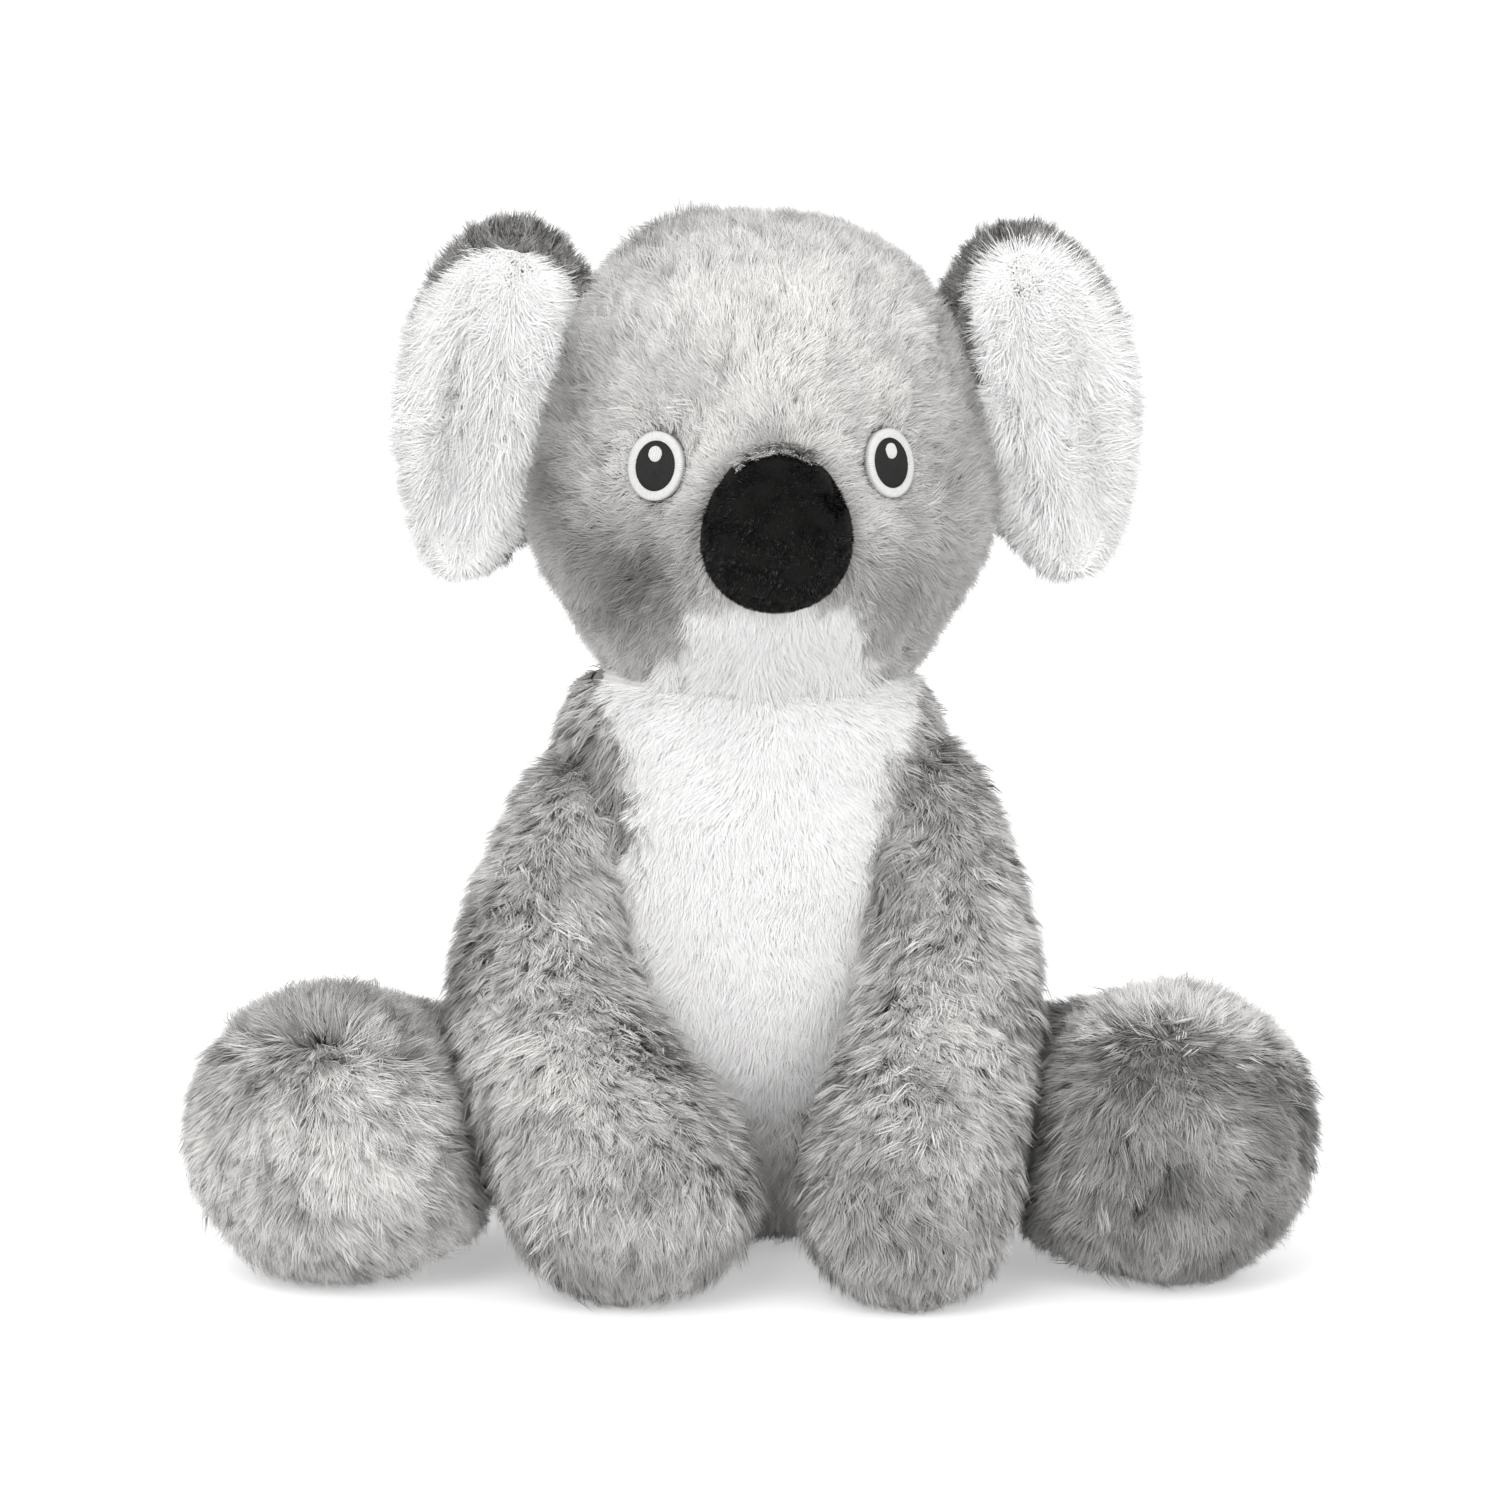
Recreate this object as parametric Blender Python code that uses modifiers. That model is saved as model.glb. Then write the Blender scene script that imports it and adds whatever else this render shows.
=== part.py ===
"""A plush koala that sits upright, sewn from plush skins over fibre stuffing.

Metres, +Z up. The toy faces -Y and sits on z = 0. Its own left side is at +X.

Every stuffed form is a cage of rings under a Subdivision Surface. A skin is such a form less a smaller and
plainer one, and the stuffing is that smaller one. Each limb ends in a ball that sits in a round socket of the
torso, the head turns on a shallow dome, and each ear swings on a bead that lies in the side of the head. What
moves is trimmed by its larger neighbour as that stands at steps of the joint's range.
"""

import functools
import math

import bmesh
import bpy
from mathutils import Matrix, Vector

PARTS = "plush_koala"
CUTTERS = "cutters"
SIDES = {"right": -1, "left": 1}

# Skins and clearances
PLUSH_WALL = 0.007
SEAM_GAP = 0.0003
SWING_GAP = 0.0006
SOCKET_GAP = 0.0007
FLOOR_SINK = 0.0005
CUT_OVERRUN = 0.03
WELD = 0.00001

# How finely the forms are laid out
BODY_SIDES = 12
LIMB_SIDES = 10
INNER_SIDES = 10
BALL_SEGMENTS = 20
BALL_RINGS = 12
ROD_SEGMENTS = 12
TURNED_STEPS = 32
INNER_TURNED_STEPS = 16
SWEEP_STEP = math.radians(25)
SWEEP_GROWTH_SHARE = 0.003

# Crown of the dome that the head turns on, which the torso, shoulders and head follow
NECK_CROWN = 0.172

# Torso, a pear that leans a little towards the front and runs on above the dome
TORSO_OVERRUN = 0.008
TORSO_HEIGHT = NECK_CROWN + TORSO_OVERRUN
TORSO_WIDTH = 0.134
TORSO_DEPTH = 0.104
TORSO_SEAT_BACK = 0.035
TORSO_LEAN = 0.011
TORSO_SHARES = (
    # height, girth
    (1.000, 0.00),
    (0.965, 0.500),
    (0.905, 0.755),
    (0.800, 0.830),
    (0.630, 0.885),
    (0.460, 0.960),
    (0.300, 1.000),
    (0.150, 0.950),
    (0.040, 0.740),
    (0.000, 0.400),
    (0.000, 0.000),
)

# The dome, round the neck's axis
NECK_X = 0.003
NECK_Y = 0.023
NECK_DROP = 0.012
NECK_RADIUS = 0.045
NECK_REACH = 0.090
NECK_HOLE_RADIUS = 0.016
NECK_SEAT_SHARES = (0.0, 0.25, 0.5, 0.75, 1.0)

# Head, wide and low in the cheeks, turned a little to its own left
HEAD_HEIGHT = 0.1405
HEAD_SINK = 0.022
HEAD_WIDTH = 0.131
HEAD_DEPTH = 0.120
HEAD_BACK = 0.001
HEAD_TURN = math.radians(4)
HEAD_SHARES = (
    # height, width, front, back
    (1.000, 0.00, 0.00, 0.00),
    (0.975, 0.36, 0.34, 0.40),
    (0.905, 0.63, 0.62, 0.66),
    (0.810, 0.775, 0.79, 0.82),
    (0.690, 0.875, 0.89, 0.93),
    (0.555, 0.960, 0.97, 0.99),
    (0.420, 1.000, 1.03, 1.00),
    (0.310, 0.930, 1.01, 0.97),
    (0.215, 0.790, 0.87, 0.88),
    (0.130, 0.710, 0.68, 0.75),
    (0.040, 0.560, 0.50, 0.58),
    (0.000, 0.00, 0.00, 0.00),
)

# Nose, a padded velour dome
NOSE_WIDTH = 0.0405
NOSE_HEIGHT = 0.0450
NOSE_BULGE = 0.0240
NOSE_LIFT = 0.0408
NOSE_INSET = 0.0050
NOSE_COVER = 0.0018
NOSE_LOW_WEIGHT = 0.12
NOSE_MOUTH_SHARE = 0.6
NOSE_SIDES = 12
NOSE_SHARES = (
    # ahead, open
    (1.00, 0.00),
    (0.95, 0.42),
    (0.72, 0.82),
    (0.36, 1.02),
    (0.06, 1.02),
    (0.00, 0.80),
    (0.00, 0.00),
)

# Stitched eyes: a white oval, a black pupil and a glint, one above the other
EYE_WIDTH = {"right": 0.0165, "left": 0.0150}
EYE_HEIGHT = 0.0190
EYE_OUT = 0.0329
EYE_LIFT = 0.0566
EYE_SINK = 0.0022
EYE_THREAD = 0.0012
EYE_EDGE = 0.0004
PUPIL_WIDTH_SHARE = 0.72
PUPIL_HEIGHT_SHARE = 0.73
PUPIL_SIDEWAYS = 0.0004
GLINT_WIDTH_SHARE = 0.24
GLINT_HEIGHT_SHARE = 0.23
GLINT_RISE_SHARE = 0.17
EYE_SEGMENTS = 20

# Ears, cupped beans that hinge on the side of the head
EAR_WIDTH = 0.0530
EAR_HEIGHT = 0.1040
EAR_OUT = {"right": 0.0130, "left": 0.0165}
EAR_RISE = {"right": -0.0005, "left": -0.0040}
EAR_TAPER_SHARE = 0.22
EAR_CUP = 0.0085
EAR_BACK_BULGE = 0.0085
EAR_LINING_BULGE = 0.0125
EAR_RIM = 0.0035
EAR_SEAM_HEIGHT = 0.0640
EAR_SEAM_BACK = 0.0080
EAR_LEAN = math.radians(10)
EAR_FLOP = math.radians(15)
EAR_BEAD_RADIUS = 0.0040
EAR_BEAD_LENGTH = 0.0340
EAR_SIDES = 12
EAR_RINGS = 3

# Chin panel and bib, outlines seen from the front
CHIN_TOP = 0.0250
CHIN_TOP_WIDTH = 0.040
CHIN_FOOT_SHARE = 0.82
BIB_BOTTOM = 0.043
BIB_TOP_WIDTH = 0.086
BIB_SHIFT = 0.003
BIB_OUTLINE_SHARES = (
    # half width, height
    (0.00, 0.00),
    (0.52, 0.10),
    (0.80, 0.38),
    (0.92, 0.70),
    (1.00, 1.00),
    (1.04, 1.35),
)
OUTLINE_STEPS = 5

# Arms, which swell into paws resting on the floor in front of the belly
SHOULDER_OUT = 0.0455
SHOULDER_Y = 0.018
SHOULDER_DROP = 0.0460
SHOULDER_Z = NECK_CROWN - SHOULDER_DROP
SHOULDER_RADIUS = 0.0205
ARM_RADIUS = 0.0236
ARM_DEPTH_SHARE = 0.92
PAW_OUT = {"right": 0.0325, "left": 0.0430}
PAW_Y = -0.0505
PAW_RADIUS = {"right": 0.0375, "left": 0.0320}
ARM_BOW = {"right": 0.0205, "left": 0.0125}
ARM_LIFT = math.radians(50)
ARM_SHARES = (
    # along, bow, swell, fullness
    (-0.17, 0.00, 0.00, 0.00),
    (-0.12, 0.00, 0.00, 0.62),
    (0.02, 0.10, 0.00, 0.95),
    (0.22, 0.60, 0.00, 1.00),
    (0.45, 1.00, 0.18, 1.00),
    (0.68, 0.62, 0.55, 1.00),
    (0.90, 0.12, 0.95, 1.00),
    (1.08, 0.00, 1.00, 0.97),
    (1.23, 0.00, 1.00, 0.72),
    (1.31, 0.00, 1.00, 0.00),
)
SLEEVE_MOUTH_RADIUS = 0.009
SLEEVE_MOUTH_SHARE = 0.62

# Legs, which reach out and forward to big round feet
HIP_OUT = 0.0440
HIP_Y = 0.036
HIP_Z = 0.0385
HIP_RADIUS = 0.0300
THIGH_RADIUS = 0.0285
FOOT_OUT = {"right": 0.1135, "left": 0.1140}
FOOT_Y = -0.024
FOOT_RADIUS = 0.0435
LEG_BOW = 0.0120
LEG_SPLAY = math.radians(25)
LEG_SHARES = (
    # along, bow, swell, fullness
    (-0.28, 0.00, 0.00, 0.00),
    (-0.20, 0.00, 0.00, 0.62),
    (0.04, 0.20, 0.00, 0.94),
    (0.27, 0.85, 0.00, 1.00),
    (0.50, 1.00, 0.05, 1.00),
    (0.74, 0.40, 0.45, 1.00),
    (0.97, 0.00, 1.00, 1.00),
    (1.20, 0.00, 1.00, 0.93),
    (1.39, 0.00, 1.00, 0.62),
    (1.47, 0.00, 1.00, 0.00),
)
SOLE_SEAM_AHEAD = 0.0210
SOLE_TILT = math.radians(14)
SOLE_TURN = math.radians(4)
LEG_MOUTH_SHARE = 0.55


def add_collection(name):
    """Adds a collection to the scene."""
    made = bpy.data.collections.new(name)
    bpy.context.scene.collection.children.link(made)


def clear_scene():
    """Removes whatever the scene holds at the start."""
    for obj in list(bpy.data.objects):
        bpy.data.objects.remove(obj, do_unlink=True)


def material(name, colour, roughness):
    """A fabric or thread of one colour."""
    made = bpy.data.materials.new(name)
    made.use_nodes = True
    shader = made.node_tree.nodes["Principled BSDF"]
    shader.inputs["Base Color"].default_value = (*colour, 1)
    shader.inputs["Roughness"].default_value = roughness
    shader.inputs["Metallic"].default_value = 0
    made.diffuse_color = (*colour, 1)


def grey_plush():
    """The mid grey pile of the body."""
    material("grey_plush", (0.36, 0.35, 0.34), 0.95)


def white_plush():
    """The white pile of the bib, the chin and the ears' linings."""
    material("white_plush", (0.82, 0.81, 0.79), 0.95)


def black_velour():
    """The short black pile of the nose."""
    material("black_velour", (0.019, 0.018, 0.017), 0.9)


def white_thread():
    """The satin thread of the eyes' whites and glints."""
    material("white_thread", (0.85, 0.85, 0.83), 0.45)


def black_thread():
    """The satin thread of the pupils."""
    material("black_thread", (0.02, 0.02, 0.02), 0.4)


def fibre():
    """The loose filling."""
    material("fibre", (0.88, 0.88, 0.88), 0.9)


def add_object(name, mesh, group):
    """Links a mesh to a collection as a named object."""
    made = bpy.data.objects.new(name, mesh)
    bpy.data.collections[group].objects.link(made)
    return made


def add_pivot(name, place, parent=None, turn=0, lean=0):
    """An empty on a joint's axis, turned about Z and leant about Y."""
    pivot = bpy.data.objects.new(name, None)
    pivot.location = place
    pivot.rotation_euler = (0, lean, turn)
    pivot.parent = parent
    bpy.data.collections[PARTS].objects.link(pivot)
    bpy.context.view_layer.update()
    return pivot


def face_outward(cage):
    """Turns the faces of a closed cage so that they point outwards."""
    bmesh.ops.recalc_face_normals(cage, faces=cage.faces)
    if cage.calc_volume(signed=True) < 0:
        bmesh.ops.reverse_faces(cage, faces=cage.faces)


def mesh_of(name, cage):
    """A smooth mesh made of a cage, which is freed."""
    mesh = bpy.data.meshes.new(name)
    cage.to_mesh(mesh)
    cage.free()
    mesh.shade_smooth()
    return mesh


def ring_cage(name, rings, sides, inscribed=False):
    """A closed cage: a UV sphere whose rings are laid one by one at the given places.

    Each ring is (centre, across, along), where across and along are the half axes of its ellipse. The first
    and the last are poles. The cage is drawn round its ellipses, which is where softening brings it, or
    else within them.
    """
    last = len(rings) - 1
    swell = 1 if inscribed else 1 / math.cos(math.pi / sides)
    cage = bmesh.new()
    bmesh.ops.create_uvsphere(cage, u_segments=sides, v_segments=last, radius=1)
    for corner in cage.verts:
        north = max(-1.0, min(1.0, corner.co.z))
        centre, across, along = rings[round(math.acos(north) / math.pi * last)]
        around = Vector((corner.co.x, corner.co.y))
        if around.length:
            around.normalize()
        corner.co = centre + swell * (around.x * across + around.y * along)
    face_outward(cage)
    return mesh_of(name, cage)


def soften(obj):
    """Rounds a cage with one level of Subdivision Surface."""
    modifier = obj.modifiers.new("soften", "SUBSURF")
    modifier.levels = 1
    modifier.render_levels = 1
    return obj


def as_helper(obj, parent=None):
    """Hides an object that only cuts or joins others."""
    obj.hide_render = True
    obj.display_type = "WIRE"
    obj.parent = parent
    return obj


def boolean(obj, other, operation):
    """Adds an exact Boolean with the other object."""
    modifier = obj.modifiers.new(f"{operation.lower()} {other.name}"[:60], "BOOLEAN")
    modifier.operation = operation
    modifier.solver = "EXACT"
    modifier.object = other
    return obj


def cut(obj, *others):
    """Takes each of the others away from the object."""
    for other in others:
        boolean(obj, other, "DIFFERENCE")
    return obj


def finish(obj, dress, pivot):
    """Gives a piece its material and hangs it on the empty at its joint."""
    obj.data.materials.append(bpy.data.materials[dress])
    obj.parent = pivot


def helper(name, mesh, parent=None):
    """A hidden object of the given mesh."""
    return as_helper(add_object(name, mesh, CUTTERS), parent)


def ball(name, radius, place=(0, 0, 0), parent=None):
    """A round helper, finely meshed so that it turns freely in its socket."""
    cage = bmesh.new()
    bmesh.ops.create_uvsphere(cage, u_segments=BALL_SEGMENTS, v_segments=BALL_RINGS, radius=radius)
    made = helper(name, mesh_of(name, cage), parent)
    made.location = place
    return made


def rod(name, radius, start, end, parent=None):
    """A round helper from one point to another."""
    start, end = Vector(start), Vector(end)
    cage = bmesh.new()
    bmesh.ops.create_cone(
        cage,
        cap_ends=True,
        segments=ROD_SEGMENTS,
        radius1=radius,
        radius2=radius,
        depth=(end - start).length,
    )
    turn = (end - start).to_track_quat("Z", "Y").to_matrix().to_4x4()
    bmesh.ops.transform(cage, matrix=Matrix.Translation((start + end) / 2) @ turn, verts=cage.verts)
    return helper(name, mesh_of(name, cage), parent)


def block(name, low, high):
    """A box helper between two corners."""
    low, high = Vector(low), Vector(high)
    cage = bmesh.new()
    bmesh.ops.create_cube(cage, size=1)
    bmesh.ops.scale(cage, vec=high - low, verts=cage.verts)
    bmesh.ops.translate(cage, vec=(low + high) / 2, verts=cage.verts)
    return helper(name, mesh_of(name, cage))


def turned(name, profile, place, steps):
    """A turned helper: a profile of (radius, height) points spun about the vertical through the place."""
    mesh = bpy.data.meshes.new(name)
    mesh.from_pydata([(r, 0, z) for r, z in profile], [(i, i + 1) for i in range(len(profile) - 1)], [])
    made = helper(name, mesh)
    made.location = place
    spin = made.modifiers.new("spin", "SCREW")
    spin.steps = steps
    spin.render_steps = steps
    spin.use_merge_vertices = True
    spin.merge_threshold = WELD
    return made


def standing_outline(name, points, front, back, parent):
    """A helper with the given outline in X and Z, running in Y from its front to its back."""
    curve = bpy.data.curves.new(name, "CURVE")
    curve.dimensions = "2D"
    curve.fill_mode = "BOTH"
    curve.resolution_u = OUTLINE_STEPS
    curve.extrude = (back - front) / 2
    spline = curve.splines.new("BEZIER")
    spline.bezier_points.add(len(points) - 1)
    for corner, (x, z) in zip(spline.bezier_points, points):
        corner.co = (x, z, 0)
        corner.handle_left_type = "AUTO"
        corner.handle_right_type = "AUTO"
    spline.use_cyclic_u = True
    guide = add_object(name + "_guide", curve, CUTTERS)
    guide.rotation_euler = (math.pi / 2, 0, 0)
    guide.location = (0, (front + back) / 2, 0)
    bpy.context.view_layer.update()
    graph = bpy.context.evaluated_depsgraph_get()
    mesh = bpy.data.meshes.new_from_object(guide.evaluated_get(graph))
    mesh.transform(guide.matrix_world)
    bpy.data.objects.remove(guide)
    cage = bmesh.new()
    cage.from_mesh(mesh)
    bmesh.ops.remove_doubles(cage, verts=cage.verts, dist=WELD)
    face_outward(cage)
    cage.to_mesh(mesh)
    cage.free()
    return helper(name, mesh, parent)


def seated(form_rings, floor, grow=0):
    """A form's rings, shifted so that the ungrown and softened form dips just under the floor."""
    trial = soften(helper("trial", ring_cage("trial", form_rings(), BODY_SIDES)))
    bpy.context.view_layer.update()
    graph = bpy.context.evaluated_depsgraph_get()
    lowest = min(corner.co.z for corner in trial.evaluated_get(graph).data.vertices)
    bpy.data.objects.remove(trial)
    shift = Vector((0, 0, floor - FLOOR_SINK - lowest))
    return [(centre + shift, across, along) for centre, across, along in form_rings(grow)]


def torso_rings(grow=0):
    """The torso's rings from the neck down, all of them grown or shrunk by a length."""
    rings = []
    for height_share, girth_share in TORSO_SHARES:
        half_width = TORSO_WIDTH / 2 * girth_share
        half_depth = TORSO_DEPTH / 2 * girth_share
        middle = TORSO_HEIGHT / 2
        height = TORSO_HEIGHT * height_share
        height += grow * (height - middle) / middle
        centre = Vector((0, TORSO_SEAT_BACK - TORSO_LEAN * height_share, height))
        if girth_share:
            half_width += grow
            half_depth += grow
        rings.append((centre, Vector((half_width, 0, 0)), Vector((0, half_depth, 0))))
    return rings


def head_ring(height_share, width_share, front_share, back_share, grow=0):
    """One ring of the head, in the frame of the neck's pivot: its centre and half axes, front to back."""
    middle = HEAD_HEIGHT / 2
    height = HEAD_HEIGHT * height_share
    height += grow * (height - middle) / middle
    front = HEAD_DEPTH / 2 * front_share
    back = HEAD_DEPTH / 2 * back_share
    half_width = HEAD_WIDTH / 2 * width_share
    half_depth = (front + back) / 2
    if width_share:
        half_width += grow
        half_depth += grow
    centre = Vector((0, HEAD_BACK + (back - front) / 2, height - HEAD_SINK))
    return centre, Vector((half_width, 0, 0)), Vector((0, half_depth, 0))


def head_rings(grow=0):
    """The head's rings from the crown down."""
    return [head_ring(*shares, grow=grow) for shares in HEAD_SHARES]


def head_surface(x, z):
    """A point of the head's front at a sideways and an upward place, and the outward direction there."""

    def front_at(x, z):
        rings = head_rings()
        for (low, low_x, low_y), (high, high_x, high_y) in zip(rings[1:], rings):
            if low.z <= z <= high.z:
                blend = (z - low.z) / (high.z - low.z)
                centre = low.lerp(high, blend)
                half_width = low_x.lerp(high_x, blend).x
                half_depth = low_y.lerp(high_y, blend).y
                inside = max(0.0, 1 - (x / half_width) ** 2)
                return centre.y - half_depth * math.sqrt(inside)
        raise ValueError("that height isn't on the head")

    step = EYE_HEIGHT / 2
    middle = front_at(x, z)
    slope_x = (front_at(x + step, z) - front_at(x - step, z)) / (2 * step)
    slope_z = (front_at(x, z + step) - front_at(x, z - step)) / (2 * step)
    return Vector((x, middle, z)), Vector((slope_x, -1, slope_z)).normalized()


def limb_rings(shares, reach, bow, slim, full, depth_share=1, grow=0):
    """Rings from a limb's root to its tip, square to the straight line between them.

    The reach is the vector from the joint to the middle of the swollen end, the bow is how far and which
    way the limb bends off that line, and its girth goes from slim to full.
    """
    direction = reach.normalized()
    across = direction.cross(Vector((0, 0, 1))).normalized()
    upward = across.cross(direction).normalized()
    middle = reach / 2
    rings = []
    for along_share, bow_share, swell_share, fullness_share in shares:
        radius = (slim + (full - slim) * swell_share) * fullness_share
        centre = reach * along_share + bow * bow_share
        centre += direction * grow * (centre - middle).dot(direction) / middle.length / 2
        if fullness_share:
            radius += grow
        rings.append((centre, across * radius, upward * radius * depth_share))
    return rings


def arm_reach(side):
    """The vector from a shoulder to the middle of its paw."""
    sign = SIDES[side]
    rise = PAW_RADIUS[side] * ARM_DEPTH_SHARE
    return Vector((sign * (PAW_OUT[side] - SHOULDER_OUT), PAW_Y - SHOULDER_Y, rise - SHOULDER_Z))


def leg_reach(side):
    """The vector from a hip to the middle of its foot."""
    sign = SIDES[side]
    return Vector((sign * (FOOT_OUT[side] - HIP_OUT), FOOT_Y - HIP_Y, FOOT_RADIUS - HIP_Z))


def arm_rings(side, grow=0):
    """The rings of an arm, in the frame of its shoulder."""
    bow = Vector((SIDES[side] * ARM_BOW[side], 0, 0))
    return limb_rings(ARM_SHARES, arm_reach(side), bow, ARM_RADIUS, PAW_RADIUS[side], ARM_DEPTH_SHARE, grow)


def leg_rings(side, grow=0):
    """The rings of a leg, in the frame of its hip."""
    reach = leg_reach(side)
    outward = Vector((-reach.y * SIDES[side], reach.x * SIDES[side], 0)).normalized()
    return limb_rings(LEG_SHARES, reach, outward * LEG_BOW, THIGH_RADIUS, FOOT_RADIUS, 1, grow)


def shoulder_place(side):
    """The middle of a shoulder."""
    return Vector((SIDES[side] * SHOULDER_OUT, SHOULDER_Y, SHOULDER_Z))


def hip_place(side):
    """The middle of a hip."""
    return Vector((SIDES[side] * HIP_OUT, HIP_Y, HIP_Z))


def neck_dome(lift):
    """Points of (radius, height over the crown) down the dome, raised by a lift."""
    points = []
    for share in NECK_SEAT_SHARES:
        radius = NECK_REACH * share
        points.append((radius, lift - NECK_DROP * (radius / NECK_RADIUS) ** 2))
    return points


def below_dome(name, lift, steps=INNER_TURNED_STEPS):
    """All that lies under the dome of the neck, which is what the head clears."""
    dome = neck_dome(lift)
    foot = dome[-1][1] - CUT_OVERRUN
    return turned(name, dome + [(NECK_REACH, foot), (0, foot)], (NECK_X, NECK_Y, NECK_CROWN), steps)


def above_dome(name, lift, steps=INNER_TURNED_STEPS):
    """All that lies over the dome of the neck, which is what the torso clears."""
    dome = neck_dome(lift)
    top = CUT_OVERRUN
    return turned(name, [(0, top), (NECK_REACH, top)] + dome[::-1], (NECK_X, NECK_Y, NECK_CROWN), steps)


def add_floor_cutter():
    """A block under the floor, which leaves soft undersides flat."""
    side = TORSO_WIDTH + HEAD_WIDTH + EAR_HEIGHT
    return block("under_floor", (-side, -side, -CUT_OVERRUN), (side, side, 0))


def bib_outline(grow=0):
    """The bib's outline from its lowest point up and round, grown by a seam's gap if asked."""
    height = NECK_CROWN - NECK_DROP - BIB_BOTTOM
    middle = Vector((BIB_SHIFT, BIB_BOTTOM + height / 2))
    one_side = [(BIB_TOP_WIDTH / 2 * x, BIB_BOTTOM + height * z) for x, z in BIB_OUTLINE_SHARES]
    other_side = [(-x, z) for x, z in reversed(one_side[1:])]
    points = []
    for x, z in one_side + other_side:
        point = Vector((BIB_SHIFT + x, z))
        outward = (point - middle).normalized()
        points.append(tuple(point + outward * grow))
    return points


def chin_outline(grow=0):
    """The chin panel's outline, wider at the throat, in the frame of the neck's pivot."""
    foot = -NECK_DROP - CUT_OVERRUN
    half_top = CHIN_TOP_WIDTH / 2 + grow
    half_foot = BIB_TOP_WIDTH * CHIN_FOOT_SHARE / 2 + grow
    return [
        (-half_foot, foot),
        (half_foot, foot),
        (half_foot, 0),
        (half_top, CHIN_TOP + grow),
        (-half_top, CHIN_TOP + grow),
        (-half_foot, 0),
    ]


def swept(name, mesh, place, axis, angles):
    """Helpers of one mesh in world space, standing as a piece sees them at each angle of its joint.

    Each is a trace larger than the one before, so that no two of them share a face.
    """
    helpers = []
    for number, angle in enumerate(angles):
        made = helper(f"{name}_{number}", mesh)
        turn = Matrix.Rotation(-angle, 4, axis) @ Matrix.Scale(1 + number * SWEEP_GROWTH_SHARE, 4)
        made.matrix_world = Matrix.Translation(place) @ turn @ Matrix.Translation(-place)
        helpers.append(made)
    return helpers


def spread(low, high):
    """Angles from low to high in equal steps."""
    steps = math.ceil(abs(high - low) / SWEEP_STEP)
    return [low + (high - low) * step / steps for step in range(steps + 1)]


def torso_cage(name, grow):
    """A plain cage round the torso, grown by a length."""
    return ring_cage(name, seated(torso_rings, 0, grow), BODY_SIDES)


def torso_skin(name, hollow, floor):
    """The whole plush skin of the torso, before its bib is parted."""
    skin = soften(add_object(name, ring_cage(name, seated(torso_rings, 0), BODY_SIDES), PARTS))
    cut(skin, hollow, above_dome(f"{name}_dome", -SEAM_GAP, TURNED_STEPS))
    for side in SIDES:
        cut(skin, ball(f"{name}_shoulder_{side}", SHOULDER_RADIUS + SOCKET_GAP, shoulder_place(side)))
        cut(skin, ball(f"{name}_hip_{side}", HIP_RADIUS + SOCKET_GAP, hip_place(side)))
    return cut(skin, floor)


def add_torso(floor, pivot):
    """The torso's skin, its bib and its stuffing."""
    hollow_mesh = ring_cage("torso_hollow", torso_rings(-PLUSH_WALL), INNER_SIDES, inscribed=True)
    hollow = helper("torso_hollow", hollow_mesh)
    cut(hollow, above_dome("hollow_dome", -SEAM_GAP - PLUSH_WALL))
    front = TORSO_SEAT_BACK - TORSO_DEPTH - CUT_OVERRUN
    middle = TORSO_SEAT_BACK - TORSO_LEAN
    bib = standing_outline("bib_region", bib_outline(), front, middle, None)
    hole = standing_outline("bib_hole", bib_outline(SEAM_GAP), front, middle + SEAM_GAP, None)
    shell = cut(torso_skin("torso_shell", hollow, floor), hole)
    finish(shell, "grey_plush", pivot)
    panel = boolean(torso_skin("belly_panel", hollow, floor), bib, "INTERSECT")
    finish(panel, "white_plush", pivot)
    add_torso_stuffing(pivot)


def add_torso_stuffing(pivot):
    """The torso's filling, which leaves room for the limbs' balls."""
    rings = torso_rings(-PLUSH_WALL - SEAM_GAP)
    filling = add_object("torso_stuffing", ring_cage("torso_stuffing", rings, INNER_SIDES, True), PARTS)
    cut(filling, above_dome("filling_dome", -2 * SEAM_GAP - PLUSH_WALL))
    for side in SIDES:
        cut(filling, ball(f"shoulder_hollow_{side}", SHOULDER_RADIUS + SOCKET_GAP, shoulder_place(side)))
        cut(filling, ball(f"hip_hollow_{side}", HIP_RADIUS + SOCKET_GAP, hip_place(side)))
    finish(filling, "fibre", pivot)


def limb_forms(name, side, form_rings, pivot, axis, angles):
    """A limb's skin, the hollow to cut from it and its stuffing, each trimmed clear of the torso."""
    place = pivot.location.copy()
    floor = -place.z
    ends = [angles[0], angles[-1]]
    forms = []
    for kind, grow, kept in (
        ("shell", 0, angles),
        ("hollow", -PLUSH_WALL, ends),
        ("stuffing", -PLUSH_WALL - SEAM_GAP, ends),
    ):
        label = f"{name}_{kind}_{side}"
        inner = kind != "shell"
        mesh = ring_cage(label, seated(form_rings, floor, grow), INNER_SIDES if inner else LIMB_SIDES, inner)
        form = add_object(label, mesh, CUTTERS if kind == "hollow" else PARTS)
        form.parent = pivot
        if not inner:
            soften(form)
        guard = torso_cage(f"{label}_guard", SWING_GAP - grow)
        cut(form, *swept(f"{label}_guard", guard, place, axis, kept))
        forms.append(form)
    shell, hollow, filling = forms
    return shell, as_helper(hollow, pivot), filling


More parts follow.
